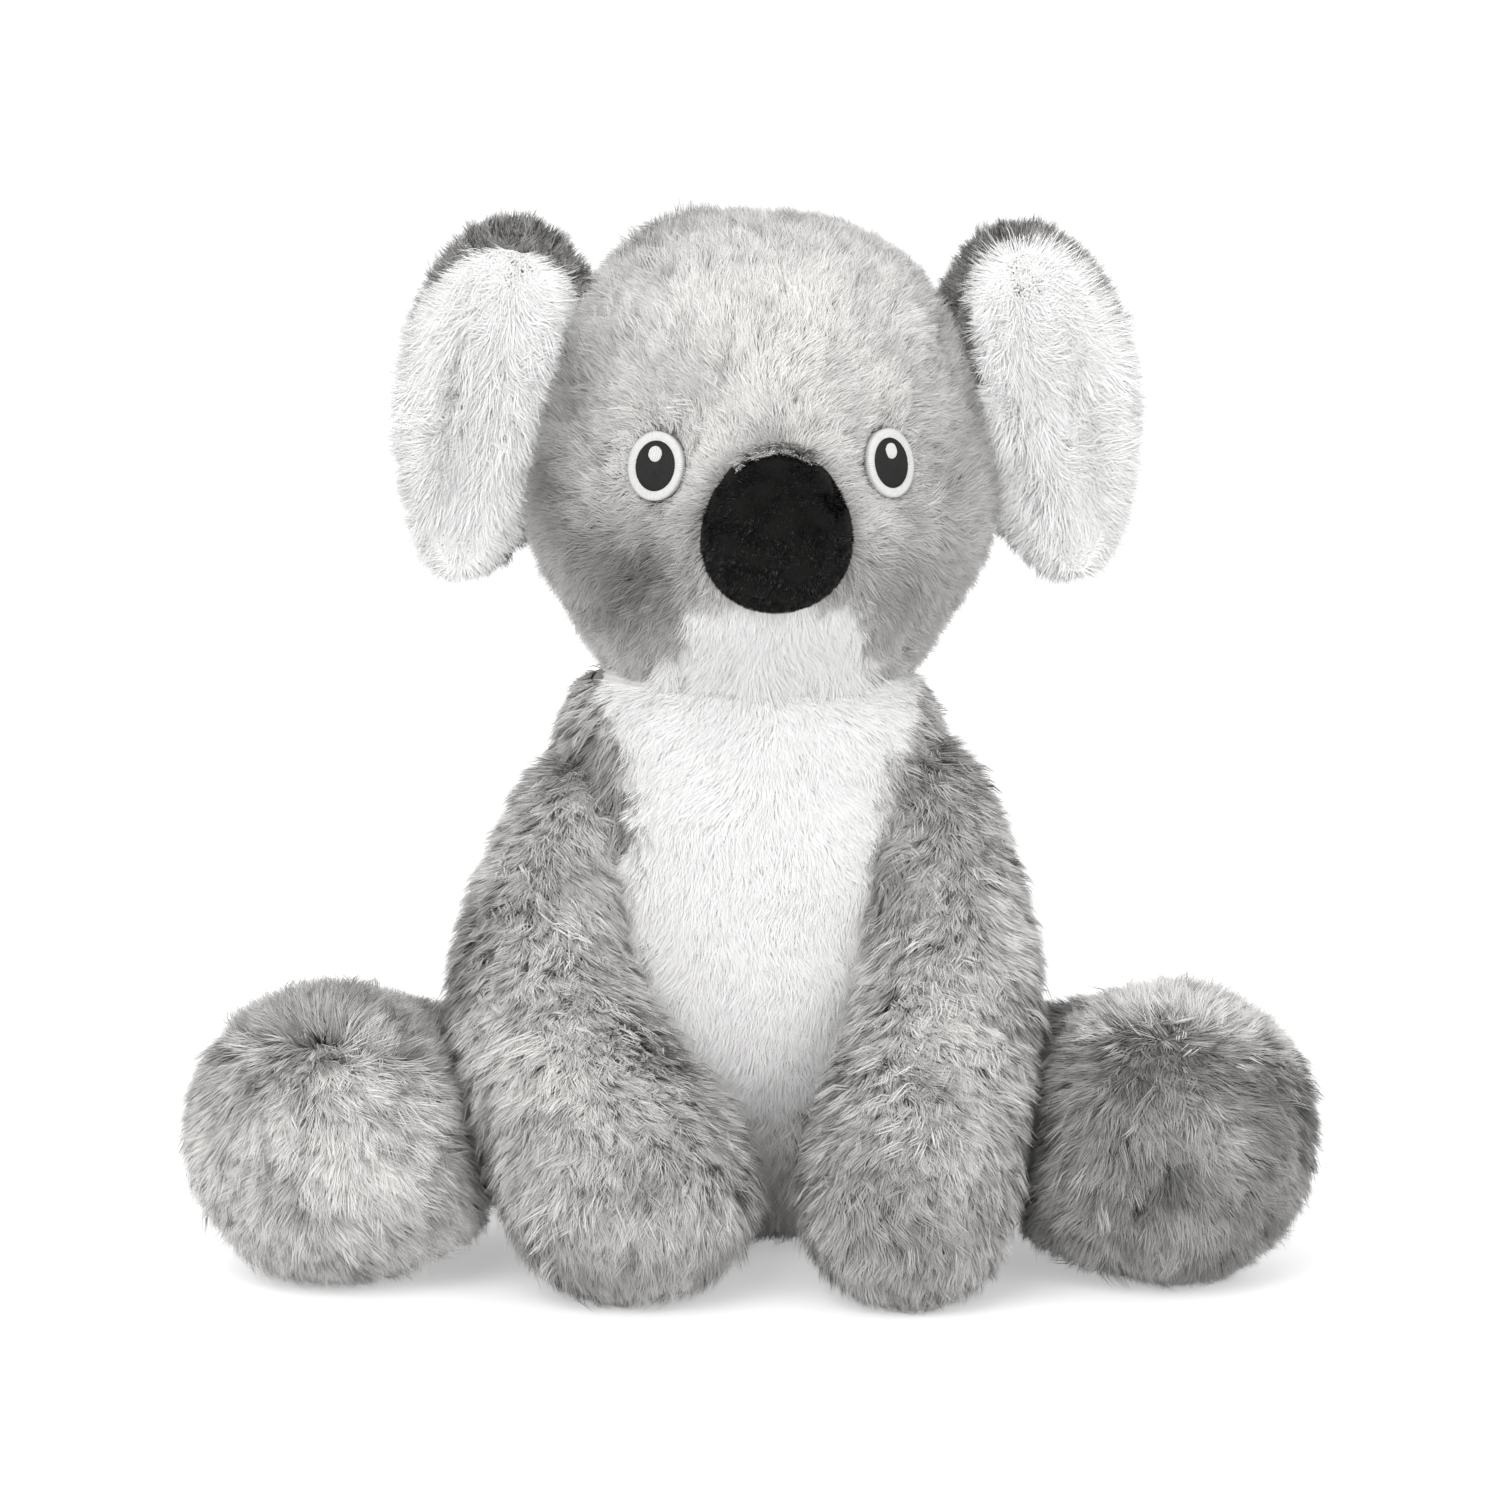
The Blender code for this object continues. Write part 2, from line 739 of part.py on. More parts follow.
def limb_mouth(name, form_rings, place, along_share, pivot):
    """The opening that a limb is filled through, from its middle towards the torso."""
    rings = seated(form_rings, -place.z)
    start = rings[0][0].lerp(rings[-1][0], along_share)
    inward = Vector((0, TORSO_SEAT_BACK, 0)) - place - start
    inward.z = 0
    end = start + inward.normalized() * (FOOT_RADIUS + CUT_OVERRUN)
    return rod(name, SLEEVE_MOUTH_RADIUS, start, end, pivot)


def add_arm(side, floor, torso):
    """One arm: its sleeve and its stuffing, which lift forward about the shoulder."""
    pivot = add_pivot(f"shoulder_{side}", shoulder_place(side), torso)
    form_rings = functools.partial(arm_rings, side)
    angles = spread(0, -ARM_LIFT)
    shell, hollow, filling = limb_forms("arm", side, form_rings, pivot, "X", angles)
    beside = ring_cage("beside_arm", seated(functools.partial(leg_rings, side), -HIP_Z, SWING_GAP), LIMB_SIDES)
    leg = soften(helper(f"leg_beside_arm_{side}", beside))
    leg.location = hip_place(side)
    cut(shell, leg, ball(f"hip_beside_arm_{side}", HIP_RADIUS + SWING_GAP, hip_place(side)))
    boolean(shell, ball(f"arm_ball_{side}", SHOULDER_RADIUS, parent=pivot), "UNION")
    mouth = limb_mouth(f"arm_mouth_{side}", form_rings, pivot.location, SLEEVE_MOUTH_SHARE, pivot)
    cut(shell, floor, hollow, mouth)
    finish(shell, "grey_plush", pivot)
    finish(filling, "fibre", pivot)


def sole_region(name, side, gap):
    """Everything ahead of the arched seam of a foot."""
    turn = Matrix.Rotation(SIDES[side] * SOLE_TURN, 4, "Z") @ Matrix.Rotation(SOLE_TILT, 4, "X")
    foot = hip_place(side) + leg_reach(side)
    reach = FOOT_RADIUS + CUT_OVERRUN
    ahead = block(name, (-reach, -2 * reach, -reach), (reach, gap - SOLE_SEAM_AHEAD, reach))
    ahead.matrix_world = Matrix.Translation(foot) @ turn
    return ahead


def add_leg(side, floor, torso):
    """One leg: its skin, the sole side of its foot and its stuffing, which swing out about the hip."""
    pivot = add_pivot(f"hip_{side}", hip_place(side), torso)
    form_rings = functools.partial(leg_rings, side)
    angles = spread(0, SIDES[side] * LEG_SPLAY)
    shell, hollow, filling = limb_forms("leg", side, form_rings, pivot, "Z", angles)
    boolean(shell, ball(f"leg_ball_{side}", HIP_RADIUS, parent=pivot), "UNION")
    mouth = limb_mouth(f"leg_mouth_{side}", form_rings, pivot.location, LEG_MOUTH_SHARE, pivot)
    cut(shell, floor, hollow, mouth, sole_region(f"sole_hole_{side}", side, SEAM_GAP))
    finish(shell, "grey_plush", pivot)
    finish(filling, "fibre", pivot)
    add_foot_panel(side, form_rings, floor, hollow, pivot)


def add_foot_panel(side, form_rings, floor, hollow, pivot):
    """The sole side of a foot, ahead of the arched seam."""
    name = f"foot_panel_{side}"
    mesh = ring_cage(name, seated(form_rings, -pivot.location.z), LIMB_SIDES)
    panel = soften(add_object(name, mesh, PARTS))
    finish(panel, "grey_plush", pivot)
    cut(panel, floor, hollow)
    boolean(panel, sole_region(f"sole_region_{side}", side, 0), "INTERSECT")


def nose_seat():
    """How far back the nose's flat seat lies, in the frame of the neck's pivot."""
    return head_surface(0, NOSE_LIFT)[0].y + NOSE_INSET


def nose_mesh(name, grow=0, inscribed=False):
    """The nose's cage from its tip back to its flat seat, broader low down."""
    rings = []
    for ahead_share, open_share in NOSE_SHARES:
        ahead = (NOSE_BULGE + 2 * grow) * ahead_share - grow
        half_width = (NOSE_WIDTH / 2 + grow) * open_share
        half_height = (NOSE_HEIGHT / 2 + grow) * open_share
        centre = Vector((0, nose_seat() - ahead, NOSE_LIFT))
        rings.append((centre, Vector((half_width, 0, 0)), Vector((0, 0, half_height))))
    mesh = ring_cage(name, rings, NOSE_SIDES, inscribed)
    for corner in mesh.vertices:
        fall = (NOSE_LIFT - corner.co.z) / (NOSE_HEIGHT / 2)
        corner.co.x *= 1 + NOSE_LOW_WEIGHT * fall
    return mesh


def add_nose(head):
    """The velour dome and its wadding. It returns the helper that makes room for them."""
    hollow = helper("nose_hollow", nose_mesh("nose_hollow", -NOSE_COVER, inscribed=True), head)
    mouth = rod(
        "nose_mouth",
        NOSE_WIDTH * NOSE_MOUTH_SHARE / 2,
        (0, nose_seat() - 2 * NOSE_COVER, NOSE_LIFT),
        (0, nose_seat() + CUT_OVERRUN, NOSE_LIFT),
        head,
    )
    cover = soften(add_object("nose_cover", nose_mesh("nose_cover"), PARTS))
    cut(cover, hollow, mouth)
    finish(cover, "black_velour", head)
    wadding_mesh = nose_mesh("nose_wadding", -NOSE_COVER - SEAM_GAP, inscribed=True)
    finish(add_object("nose_wadding", wadding_mesh, PARTS), "fibre", head)
    return soften(helper("nose_room", nose_mesh("nose_room", SEAM_GAP), head))


def oval(name, width, height, low, high, frame, group, edge=0):
    """A flat oval between two depths along the frame's Z, with a rounded rim if asked."""
    cage = bmesh.new()
    bmesh.ops.create_cone(
        cage,
        cap_ends=True,
        segments=EYE_SEGMENTS,
        radius1=width / 2,
        radius2=width / 2,
        depth=high - low,
    )
    bmesh.ops.scale(cage, vec=(1, height / width, 1), verts=cage.verts)
    bmesh.ops.translate(cage, vec=(0, 0, (low + high) / 2), verts=cage.verts)
    mesh = mesh_of(name, cage)
    mesh.transform(frame)
    made = add_object(name, mesh, group)
    if edge:
        rim = made.modifiers.new("rim", "BEVEL")
        rim.width = edge
        rim.segments = 1
        rim.limit_method = "ANGLE"
    return made


def add_eye(side, head):
    """One stitched eye. It returns the helper that makes room for it in the pile."""
    sign = SIDES[side]
    place, outward = head_surface(sign * EYE_OUT, EYE_LIFT)
    upright = Matrix.Translation(place) @ outward.to_track_quat("Z", "Y").to_matrix().to_4x4()
    inward = upright @ Matrix.Translation((-sign * PUPIL_SIDEWAYS, 0, 0))
    raised = inward @ Matrix.Translation((0, EYE_HEIGHT * GLINT_RISE_SHARE, 0))
    width = EYE_WIDTH[side]
    low = -EYE_SINK
    for kind, dress, frame, width_share, height_share in (
        ("eye_white", "white_thread", upright, 1, 1),
        ("pupil", "black_thread", inward, PUPIL_WIDTH_SHARE, PUPIL_HEIGHT_SHARE),
        ("glint", "white_thread", raised, GLINT_WIDTH_SHARE, GLINT_HEIGHT_SHARE),
    ):
        size = (width * width_share, EYE_HEIGHT * height_share)
        patch = oval(f"{kind}_{side}", *size, low, low + EYE_THREAD, frame, PARTS, EYE_EDGE)
        finish(patch, dress, head)
        low += EYE_THREAD + SEAM_GAP
    size = (width + 2 * SEAM_GAP, EYE_HEIGHT + 2 * SEAM_GAP)
    room = oval(f"eye_room_{side}", *size, -EYE_SINK - SEAM_GAP, CUT_OVERRUN, upright, CUTTERS)
    return as_helper(room, head)


def ear_mesh(name, side, front, back, rim=0):
    """A cupped bean in the frame of the ear's pivot: outline in X and Z, bulging front and back in Y."""
    cage = bmesh.new()
    bmesh.ops.create_uvsphere(cage, u_segments=EAR_SIDES, v_segments=EAR_RINGS * 2, radius=1)
    half_width = EAR_WIDTH / 2 + rim
    half_height = EAR_HEIGHT / 2 + rim
    for corner in cage.verts:
        upward = corner.co.y
        outward = corner.co.x
        bulge = back if corner.co.z > 0 else front
        x = EAR_OUT[side] + outward * half_width * (1 + EAR_TAPER_SHARE * upward)
        y = bulge * corner.co.z - EAR_CUP * outward * outward
        corner.co = Vector((SIDES[side] * x, y, EAR_RISE[side] + upward * half_height))
    face_outward(cage)
    return mesh_of(name, cage)


def ear_seam(side):
    """The middle of the seam where an ear joins the head, in the frame of the neck's pivot."""
    rings = head_rings()
    for (low, low_x, _), (high, high_x, _) in zip(rings[1:], rings):
        if low.z <= EAR_SEAM_HEIGHT <= high.z:
            blend = (EAR_SEAM_HEIGHT - low.z) / (high.z - low.z)
            return Vector((SIDES[side] * low_x.lerp(high_x, blend).x, EAR_SEAM_BACK, EAR_SEAM_HEIGHT))
    raise ValueError("the ear's seam isn't on the head")


def ear_bead(name, pivot, grow=0):
    """The bead of seam that an ear swings on, grown by a gap if asked."""
    half = EAR_BEAD_LENGTH / 2 + grow
    return rod(name, EAR_BEAD_RADIUS + grow, (0, 0, -half), (0, 0, half), pivot)


def add_ear(side, pivot, room, head):
    """One ear: a grey back whose rim shows, and a white lining in front of it."""
    back = soften(add_object(f"ear_back_{side}", ear_mesh("ear_back", side, 0, EAR_BACK_BULGE, EAR_RIM), PARTS))
    lining_mesh = ear_mesh("ear_lining", side, EAR_LINING_BULGE, 0)
    lining_mesh.transform(Matrix.Translation((0, -SEAM_GAP, 0)))
    lining = soften(add_object(f"ear_lining_{side}", lining_mesh, PARTS))
    place = pivot.matrix_world.translation.copy()
    axis = pivot.matrix_world.to_3x3() @ Vector((0, 0, 1))
    guard = ring_cage("head_guard", head_rings(SWING_GAP), BODY_SIDES)
    guard.transform(head.matrix_world)
    guards = swept(f"head_beside_ear_{side}", guard, place, axis, spread(-EAR_FLOP, EAR_FLOP))
    cut(back, *guards)
    boolean(back, ear_bead(f"ear_bead_{side}", pivot), "UNION")
    cut(lining, *guards, room)
    finish(back, "grey_plush", pivot)
    finish(lining, "white_plush", pivot)


def head_skin(name, hollow, rooms, head):
    """The whole plush skin of the head, before its chin panel is parted."""
    skin = soften(add_object(name, ring_cage(name, head_rings(), BODY_SIDES), PARTS))
    neck_hole = rod(f"{name}_neck", NECK_HOLE_RADIUS, (0, 0, -CUT_OVERRUN), (0, 0, CUT_OVERRUN), head)
    return cut(skin, below_dome(f"{name}_dome", 0, TURNED_STEPS), hollow, neck_hole, *rooms)


def add_head_stuffing(head):
    """The head's filling."""
    rings = head_rings(-PLUSH_WALL - 2 * SEAM_GAP)
    filling = add_object("head_stuffing", ring_cage("head_stuffing", rings, INNER_SIDES, True), PARTS)
    cut(filling, below_dome("head_filling_dome", PLUSH_WALL + SEAM_GAP))
    finish(filling, "fibre", head)


def add_head(torso):
    """The head with its nose, eyes, ears, chin panel and stuffing, all turning on the neck."""
    head = add_pivot("neck", (NECK_X, NECK_Y, NECK_CROWN), torso, turn=HEAD_TURN)
    hollow_mesh = ring_cage("head_hollow", head_rings(-PLUSH_WALL), INNER_SIDES, inscribed=True)
    hollow = cut(helper("head_hollow", hollow_mesh, head), below_dome("head_hollow_dome", PLUSH_WALL))
    rooms = [add_nose(head)]
    ears = {}
    for side, sign in SIDES.items():
        pivot = add_pivot(f"ear_seam_{side}", ear_seam(side), head, lean=-sign * EAR_LEAN)
        ears[side] = (pivot, ear_bead(f"ear_bead_room_{side}", pivot, SEAM_GAP))
        rooms += [add_eye(side, head), ears[side][1]]
    front = HEAD_BACK - HEAD_DEPTH - CUT_OVERRUN
    chin = standing_outline("chin_region", chin_outline(), front, HEAD_BACK, head)
    chin_hole = standing_outline("chin_hole", chin_outline(SEAM_GAP), front, HEAD_BACK + SEAM_GAP, head)
    finish(cut(head_skin("head_shell", hollow, rooms, head), chin_hole), "grey_plush", head)
    panel = boolean(head_skin("chin_panel", hollow, rooms, head), chin, "INTERSECT")
    finish(panel, "white_plush", head)
    add_head_stuffing(head)
    for side, (pivot, room) in ears.items():
        add_ear(side, pivot, room, head)


def main():
    """Builds the toy."""
    clear_scene()
    add_collection(PARTS)
    add_collection(CUTTERS)
    for add_material in (grey_plush, white_plush, black_velour, white_thread, black_thread, fibre):
        add_material()
    torso = add_pivot("torso", (0, 0, 0))
    floor = add_floor_cutter()
    add_torso(floor, torso)
    add_head(torso)
    for side in SIDES:
        add_arm(side, floor, torso)
        add_leg(side, floor, torso)


main()
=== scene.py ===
"""The looks of the plush koala: sewn skins under combed pile, a velour nose and stitched eyes.

Metres, +Z up. The toy faces -Y, sits on z = 0 and has its own left side at +X. Each stuffed form is a surface
of two parameters, laid out from the same ring tables as the part's solids. Its skin lies a little inside that
form, and its pile, which grows out of the skin in locks, fills the form up again.
"""

import logging
import math
from collections.abc import Callable
from dataclasses import dataclass, field
from enum import Enum

import bpy
import numpy as np
from mathutils import Matrix, Vector


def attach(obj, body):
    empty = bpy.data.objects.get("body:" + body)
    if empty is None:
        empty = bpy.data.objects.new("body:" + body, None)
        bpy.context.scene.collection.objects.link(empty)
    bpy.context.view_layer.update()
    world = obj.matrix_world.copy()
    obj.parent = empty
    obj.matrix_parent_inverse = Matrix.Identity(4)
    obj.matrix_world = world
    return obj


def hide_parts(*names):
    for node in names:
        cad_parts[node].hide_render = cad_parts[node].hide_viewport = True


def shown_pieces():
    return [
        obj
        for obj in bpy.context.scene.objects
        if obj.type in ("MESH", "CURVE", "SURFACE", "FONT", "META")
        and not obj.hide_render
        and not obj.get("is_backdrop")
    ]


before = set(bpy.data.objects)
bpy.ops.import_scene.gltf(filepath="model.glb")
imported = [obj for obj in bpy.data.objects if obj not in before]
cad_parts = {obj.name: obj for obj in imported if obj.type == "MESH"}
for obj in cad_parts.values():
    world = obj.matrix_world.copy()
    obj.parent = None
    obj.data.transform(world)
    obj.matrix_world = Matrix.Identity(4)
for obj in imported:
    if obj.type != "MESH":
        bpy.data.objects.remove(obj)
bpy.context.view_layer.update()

log = logging.getLogger("plush_koala")

Colour = tuple[float, float, float]
Place = tuple[float, float, float]
Array = np.ndarray
BAKE_MAP = "OFBake"
WIDE_MAP = 512
SMALL_MAP = 256
UPRIGHT = np.array([0, 0, 1.0])

# Lengths in metres.
FLOOR_CLEAR = 0.0003  # how high over the floor every strand and skin stays
SEAT_LEVEL = -0.0005  # where the lowest point of a seated form lies, before its fur is kept off the floor
SKIN_UNDER = 0.001  # how far under its pile's roots a sewn skin lies
FILLING_UNDER = 0.004  # and how far under them the filling lies
PANEL_WALL = 0.0008  # the thickness of an open panel's cloth
BURIED = 0.012  # how deep in the torso a limb's fur may still start

# The make of a blade of fur, and of its cell on the bake map.
LOCK_SPREAD = 1.35  # a lock's real radius over its nominal one
GATHER = 1.5  # the power by which a strand nears its lock's line, root to tip
TAPER = 1.6  # the power by which its width falls off
ROLL = 0.5  # how far blades turn about their own line, in radians
ROUNDING = 0.35  # how far a blade's normal leans off the surface's
CELL_ASPECT = 8  # columns of cells to a row of them
CELL_MARGIN = 0.06  # the share of a cell left free at each end


class Side(Enum):
    """The toy's own right and left, each with the sign of its X."""

    RIGHT = -1
    LEFT = 1

    @property
    def label(self) -> str:
        """The word that ends the names of this side's pieces."""
        return self.name.lower()


class Slot(Enum):
    """The finishes that the record names."""

    GREY_PLUSH = "grey_plush"
    WHITE_PLUSH = "white_plush"
    BLACK_VELOUR = "black_velour"
    WHITE_THREAD = "white_thread"
    BLACK_THREAD = "black_thread"
    FIBRE = "fibre"


# ---------------------------------------------------------------- arithmetic on arrays


def unit(vectors: Array) -> Array:
    """Vectors of length one: each is divided by its own length."""
    return vectors / np.maximum(np.linalg.norm(vectors, axis=-1, keepdims=True), 1e-9)


def dot(one: Array, other: Array) -> Array:
    """The scalar product of each pair of vectors."""
    return (one * other).sum(axis=-1)


def waves(points: Array, length: float, seed: int) -> Array:
    """Smooth noise of about unit spread.

    It is the sum of seven sines of p . k + c, divided by the root of half their number. Each k points a
    random way and is 2 pi / length long, give or take a third.

    Args:
        points: places, one to a row.
        length: about how far apart two crests lie.
        seed: the seed of the random ways.

    Returns:
        One number for each place.
    """
    rng = np.random.default_rng(seed)
    ways = unit(rng.normal(size=(7, 3))) * rng.uniform(0.7, 1.35, (7, 1)) * 2 * math.pi / length
    return np.sin(points @ ways.T + rng.uniform(0, 2 * math.pi, 7)).sum(axis=1) / math.sqrt(3.5)


def near(points: Array, place: Array, reach: float) -> Array:
    """A soft spot: exp(-(distance / reach)^2), so 1 at the place and 0.37 at its reach."""
    return np.exp(-((points - place) ** 2).sum(axis=1) / reach**2)


def bell(values: Array, width: float) -> Array:
    """A soft band about 0: exp(-(value / width)^2)."""
    return np.exp(-((values / width) ** 2))


def rise(values: Array, low: float, high: float) -> Array:
    """A smooth step from 0 at low to 1 at high: t^2 (3 - 2 t)."""
    share = np.clip((values - low) / (high - low), 0, 1)
    return share * share * (3 - 2 * share)


def moved(points: Array, place: Matrix) -> Array:
    """Points carried from a local frame to the world: R p + t."""
    turn = np.array(place)
    return points @ turn[:3, :3].T + turn[:3, 3]


def turned(vectors: Array, place: Matrix) -> Array:
    """Directions carried from a local frame to the world: R v."""
    return vectors @ np.array(place)[:3, :3].T


def vectors_of(x: Array | float, y: Array | float, z: Array | float) -> Array:
    """Vectors, one to a row, from columns or single numbers."""
    return np.stack(np.broadcast_arrays(x, y, z), axis=-1).astype(float)


# ---------------------------------------------------------------- shaders


class Wire:
    """A socket's value in a node tree. Python's operators on it add Math nodes."""

    def __init__(self, bench: "Bench", socket: bpy.types.NodeSocket) -> None:
        """Wraps one output socket."""
        self.bench = bench
        self.socket = socket

    def _maths(self, operation: str, first: "Wire | float", second: "Wire | float") -> "Wire":
        """The result of a Math node on two values."""
        return self.bench.node("ShaderNodeMath", {"operation": operation}, {0: first, 1: second})

    def __add__(self, other: "Wire | float") -> "Wire":
        """The sum."""
        return self._maths("ADD", self, other)

    def __radd__(self, other: float) -> "Wire":
        """The sum, with the number first."""
        return self._maths("ADD", other, self)

    def __mul__(self, other: "Wire | float") -> "Wire":
        """The product."""
        return self._maths("MULTIPLY", self, other)

    def __rmul__(self, other: float) -> "Wire":
        """The product, with the number first."""
        return self._maths("MULTIPLY", other, self)

    def __pow__(self, other: float) -> "Wire":
        """The power."""
        return self._maths("POWER", self, other)


class Bench:
    """Builds the node tree of one material, or of another owner of nodes."""

    def __init__(self, owner: bpy.types.Material | bpy.types.World) -> None:
        """Starts from an empty tree.

        Args:
            owner: the material or world that gets the nodes.
        """
        owner.use_nodes = True
        self.tree = owner.node_tree
        self.tree.nodes.clear()

    def node(self, kind: str, settings: dict | None = None, inputs: dict | None = None, output: int = 0) -> Wire:
        """Adds one node.

        Args:
            kind: the node's type.
            settings: what is set on the node itself, first of all.
            inputs: values or wires for its sockets, by name or number.
            output: the number of the output that is handed on.

        Returns:
            That output.
        """
        made = self.tree.nodes.new(kind)
        for name, value in (settings or {}).items():
            setattr(made, name, value)
        for name, value in (inputs or {}).items():
            if isinstance(value, Wire):
                self.tree.links.new(value.socket, made.inputs[name])
            else:
                made.inputs[name].default_value = value
        return Wire(self, made.outputs[output] if made.outputs else None)

    def attribute(self, name: str) -> Wire:
        """A number that the mesh carries under this name."""
        return self.node("ShaderNodeAttribute", {"attribute_name": name}, output=2)

    def place(self) -> Wire:
        """The Object coordinates."""
        return self.node("ShaderNodeTexCoord", output=3)

    def noise(self, scale: float, detail: float = 2.0, stretch: Place = (1, 1, 1)) -> Wire:
        """Noise about 0.5 on Object coordinates.

        Args:
            scale: how many features there are to the metre.
            detail: how many finer layers are added.
            stretch: how much closer the features lie along each axis.

        Returns:
            The noise.
        """
        vector = self.node("ShaderNodeMapping", {}, {"Vector": self.place(), "Scale": stretch})
        return self.node("ShaderNodeTexNoise", {}, {"Vector": vector, "Scale": scale, "Detail": detail})

    def blend(self, low: Colour, high: Colour, factor: Wire) -> Wire:
        """A colour between two others."""
        sockets = {0: factor, 6: (*low, 1), 7: (*high, 1)}
        return self.node("ShaderNodeMix", {"data_type": "RGBA"}, sockets, output=2)

    def scaled(self, colour: Wire, factor: Wire) -> Wire:
        """A colour times a number."""
        return self.node("ShaderNodeVectorMath", {"operation": "SCALE"}, {0: colour, "Scale": factor})

    def bump(self, height: Wire, depth: float) -> Wire:
        """A normal tilted by a height of so many metres."""
        return self.node("ShaderNodeBump", {}, {"Height": height, "Distance": depth, "Strength": 1.0})

    def surface(self, inputs: dict) -> None:
        """Ends a material with one Principled BSDF."""
        shader = self.node("ShaderNodeBsdfPrincipled", {}, inputs)
        self.node("ShaderNodeOutputMaterial", {}, {"Surface": shader})


@dataclass(frozen=True)
class Finish:
    """A material of one Principled BSDF."""

    name: str

    def sockets(self, bench: Bench) -> dict:
        """What the shader's sockets are given, by name."""
        raise NotImplementedError

    def make(self) -> bpy.types.Material:
        """The material.

        Returns:
            The new material, with its nodes.
        """
        made = bpy.data.materials.new(self.name)
        bench = Bench(made)
        bench.surface(self.sockets(bench))
        return made


@dataclass(frozen=True)
class PileFinish(Finish):
    """Fur that is deep in colour at the root and paler at the tip; the deeper root is painted shade in the pile.

    Every strand carries `shade`, its own lightness, and `along`, which runs from 0 at the root to 1 at the
    tip. Its colour is (root to tip by along) x shade x (fine noise about 1).
    """

    root: Colour
    tip: Colour
    sheen: float
    gloss: float = 0.25
    fleck: float = 0.28

    def sockets(self, bench: Bench) -> dict:
        """What the shader's sockets are given.

        Args:
            bench: the material's node tree.

        Returns:
            Values and wires by the sockets' names.
        """
        fleck = (1 - self.fleck / 2) + self.fleck * bench.noise(1500)
        # Darker towards the root: painted shade deep in the pile.
        colour = bench.blend(self.root, self.tip, bench.attribute("along") ** 0.9)
        return {
            "Base Color": bench.scaled(colour, bench.attribute("shade") * fleck),
            "Roughness": 0.78,
            "Specular IOR Level": self.gloss,
            "Sheen Weight": self.sheen,
            "Sheen Roughness": 0.5,
        }


@dataclass(frozen=True)
class SkinFinish(Finish):
    """The knitted ground that pile grows from: two tones by noise, and rows of knitting as a bump 0.1 mm high."""

    low: Colour
    high: Colour

    def sockets(self, bench: Bench) -> dict:
        """What the shader's sockets are given.

        Args:
            bench: the material's node tree.

        Returns:
            Values and wires by the sockets' names.
        """
        rows = bench.node(
            "ShaderNodeTexWave",
            {"wave_type": "BANDS", "bands_direction": "Z"},
            {"Vector": bench.place(), "Scale": 260.0, "Distortion": 2.5, "Detail": 2.0},
        )
        return {
            "Base Color": bench.blend(self.low, self.high, bench.noise(240, 4.0)),
            "Roughness": 0.95,
            "Specular IOR Level": 0.1,
            "Normal": bench.bump(rows, 0.0001),
        }


@dataclass(frozen=True)
class VelourFinish(Finish):
    """A very short, dense black pile: a grain of half a millimetre in colour and bump, and its faint glow."""

    low: Colour
    high: Colour

    def sockets(self, bench: Bench) -> dict:
        """What the shader's sockets are given.

        Args:
            bench: the material's node tree.

        Returns:
            Values and wires by the sockets' names.
        """
        grain = bench.noise(2100, 3.0)
        cloud = bench.noise(160, 2.0)
        return {
            "Base Color": bench.blend(self.low, self.high, (grain * 0.9 + cloud * 0.2) ** 1.2),
            "Roughness": 0.95,
            "Specular IOR Level": 0.05,
            "Sheen Weight": 0.03,
            "Sheen Roughness": 0.5,
            "Normal": bench.bump(grain, 0.00025),
        }


@dataclass(frozen=True)
class ThreadFinish(Finish):
    """Shiny embroidery thread in close rows, with painted shade in each groove by the mesh's `ridge`, and faintly
    uneven.
    """

    low: Colour
    high: Colour
    roughness: float

    def sockets(self, bench: Bench) -> dict:
        """What the shader's sockets are given.

        Args:
            bench: the material's node tree.

        Returns:
            Values and wires by the sockets' names.
        """
        uneven = bench.noise(900, 3.0)
        return {
            # The grooves between the rows are darker by `ridge`: painted shade.
            "Base Color": bench.blend(self.low, self.high, bench.attribute("ridge") * 0.7 + uneven * 0.4),
            "Roughness": self.roughness,
            "Specular IOR Level": 0.2,
            "Normal": bench.bump(bench.noise(3800, 2.0), 0.00006),
        }


@dataclass(frozen=True)
class FillingFinish(Finish):
    """Loose white fibre, with a cloudy tone and a fibrous bump."""

    low: Colour
    high: Colour

    def sockets(self, bench: Bench) -> dict:
        """What the shader's sockets are given.

        Args:
            bench: the material's node tree.

        Returns:
            Values and wires by the sockets' names.
        """
        fibres = bench.noise(420, 6.0, (1, 3, 1))
        return {
            "Base Color": bench.blend(self.low, self.high, fibres),
            "Roughness": 0.95,
            "Sheen Weight": 0.3,
            "Normal": bench.bump(fibres, 0.0008),
        }


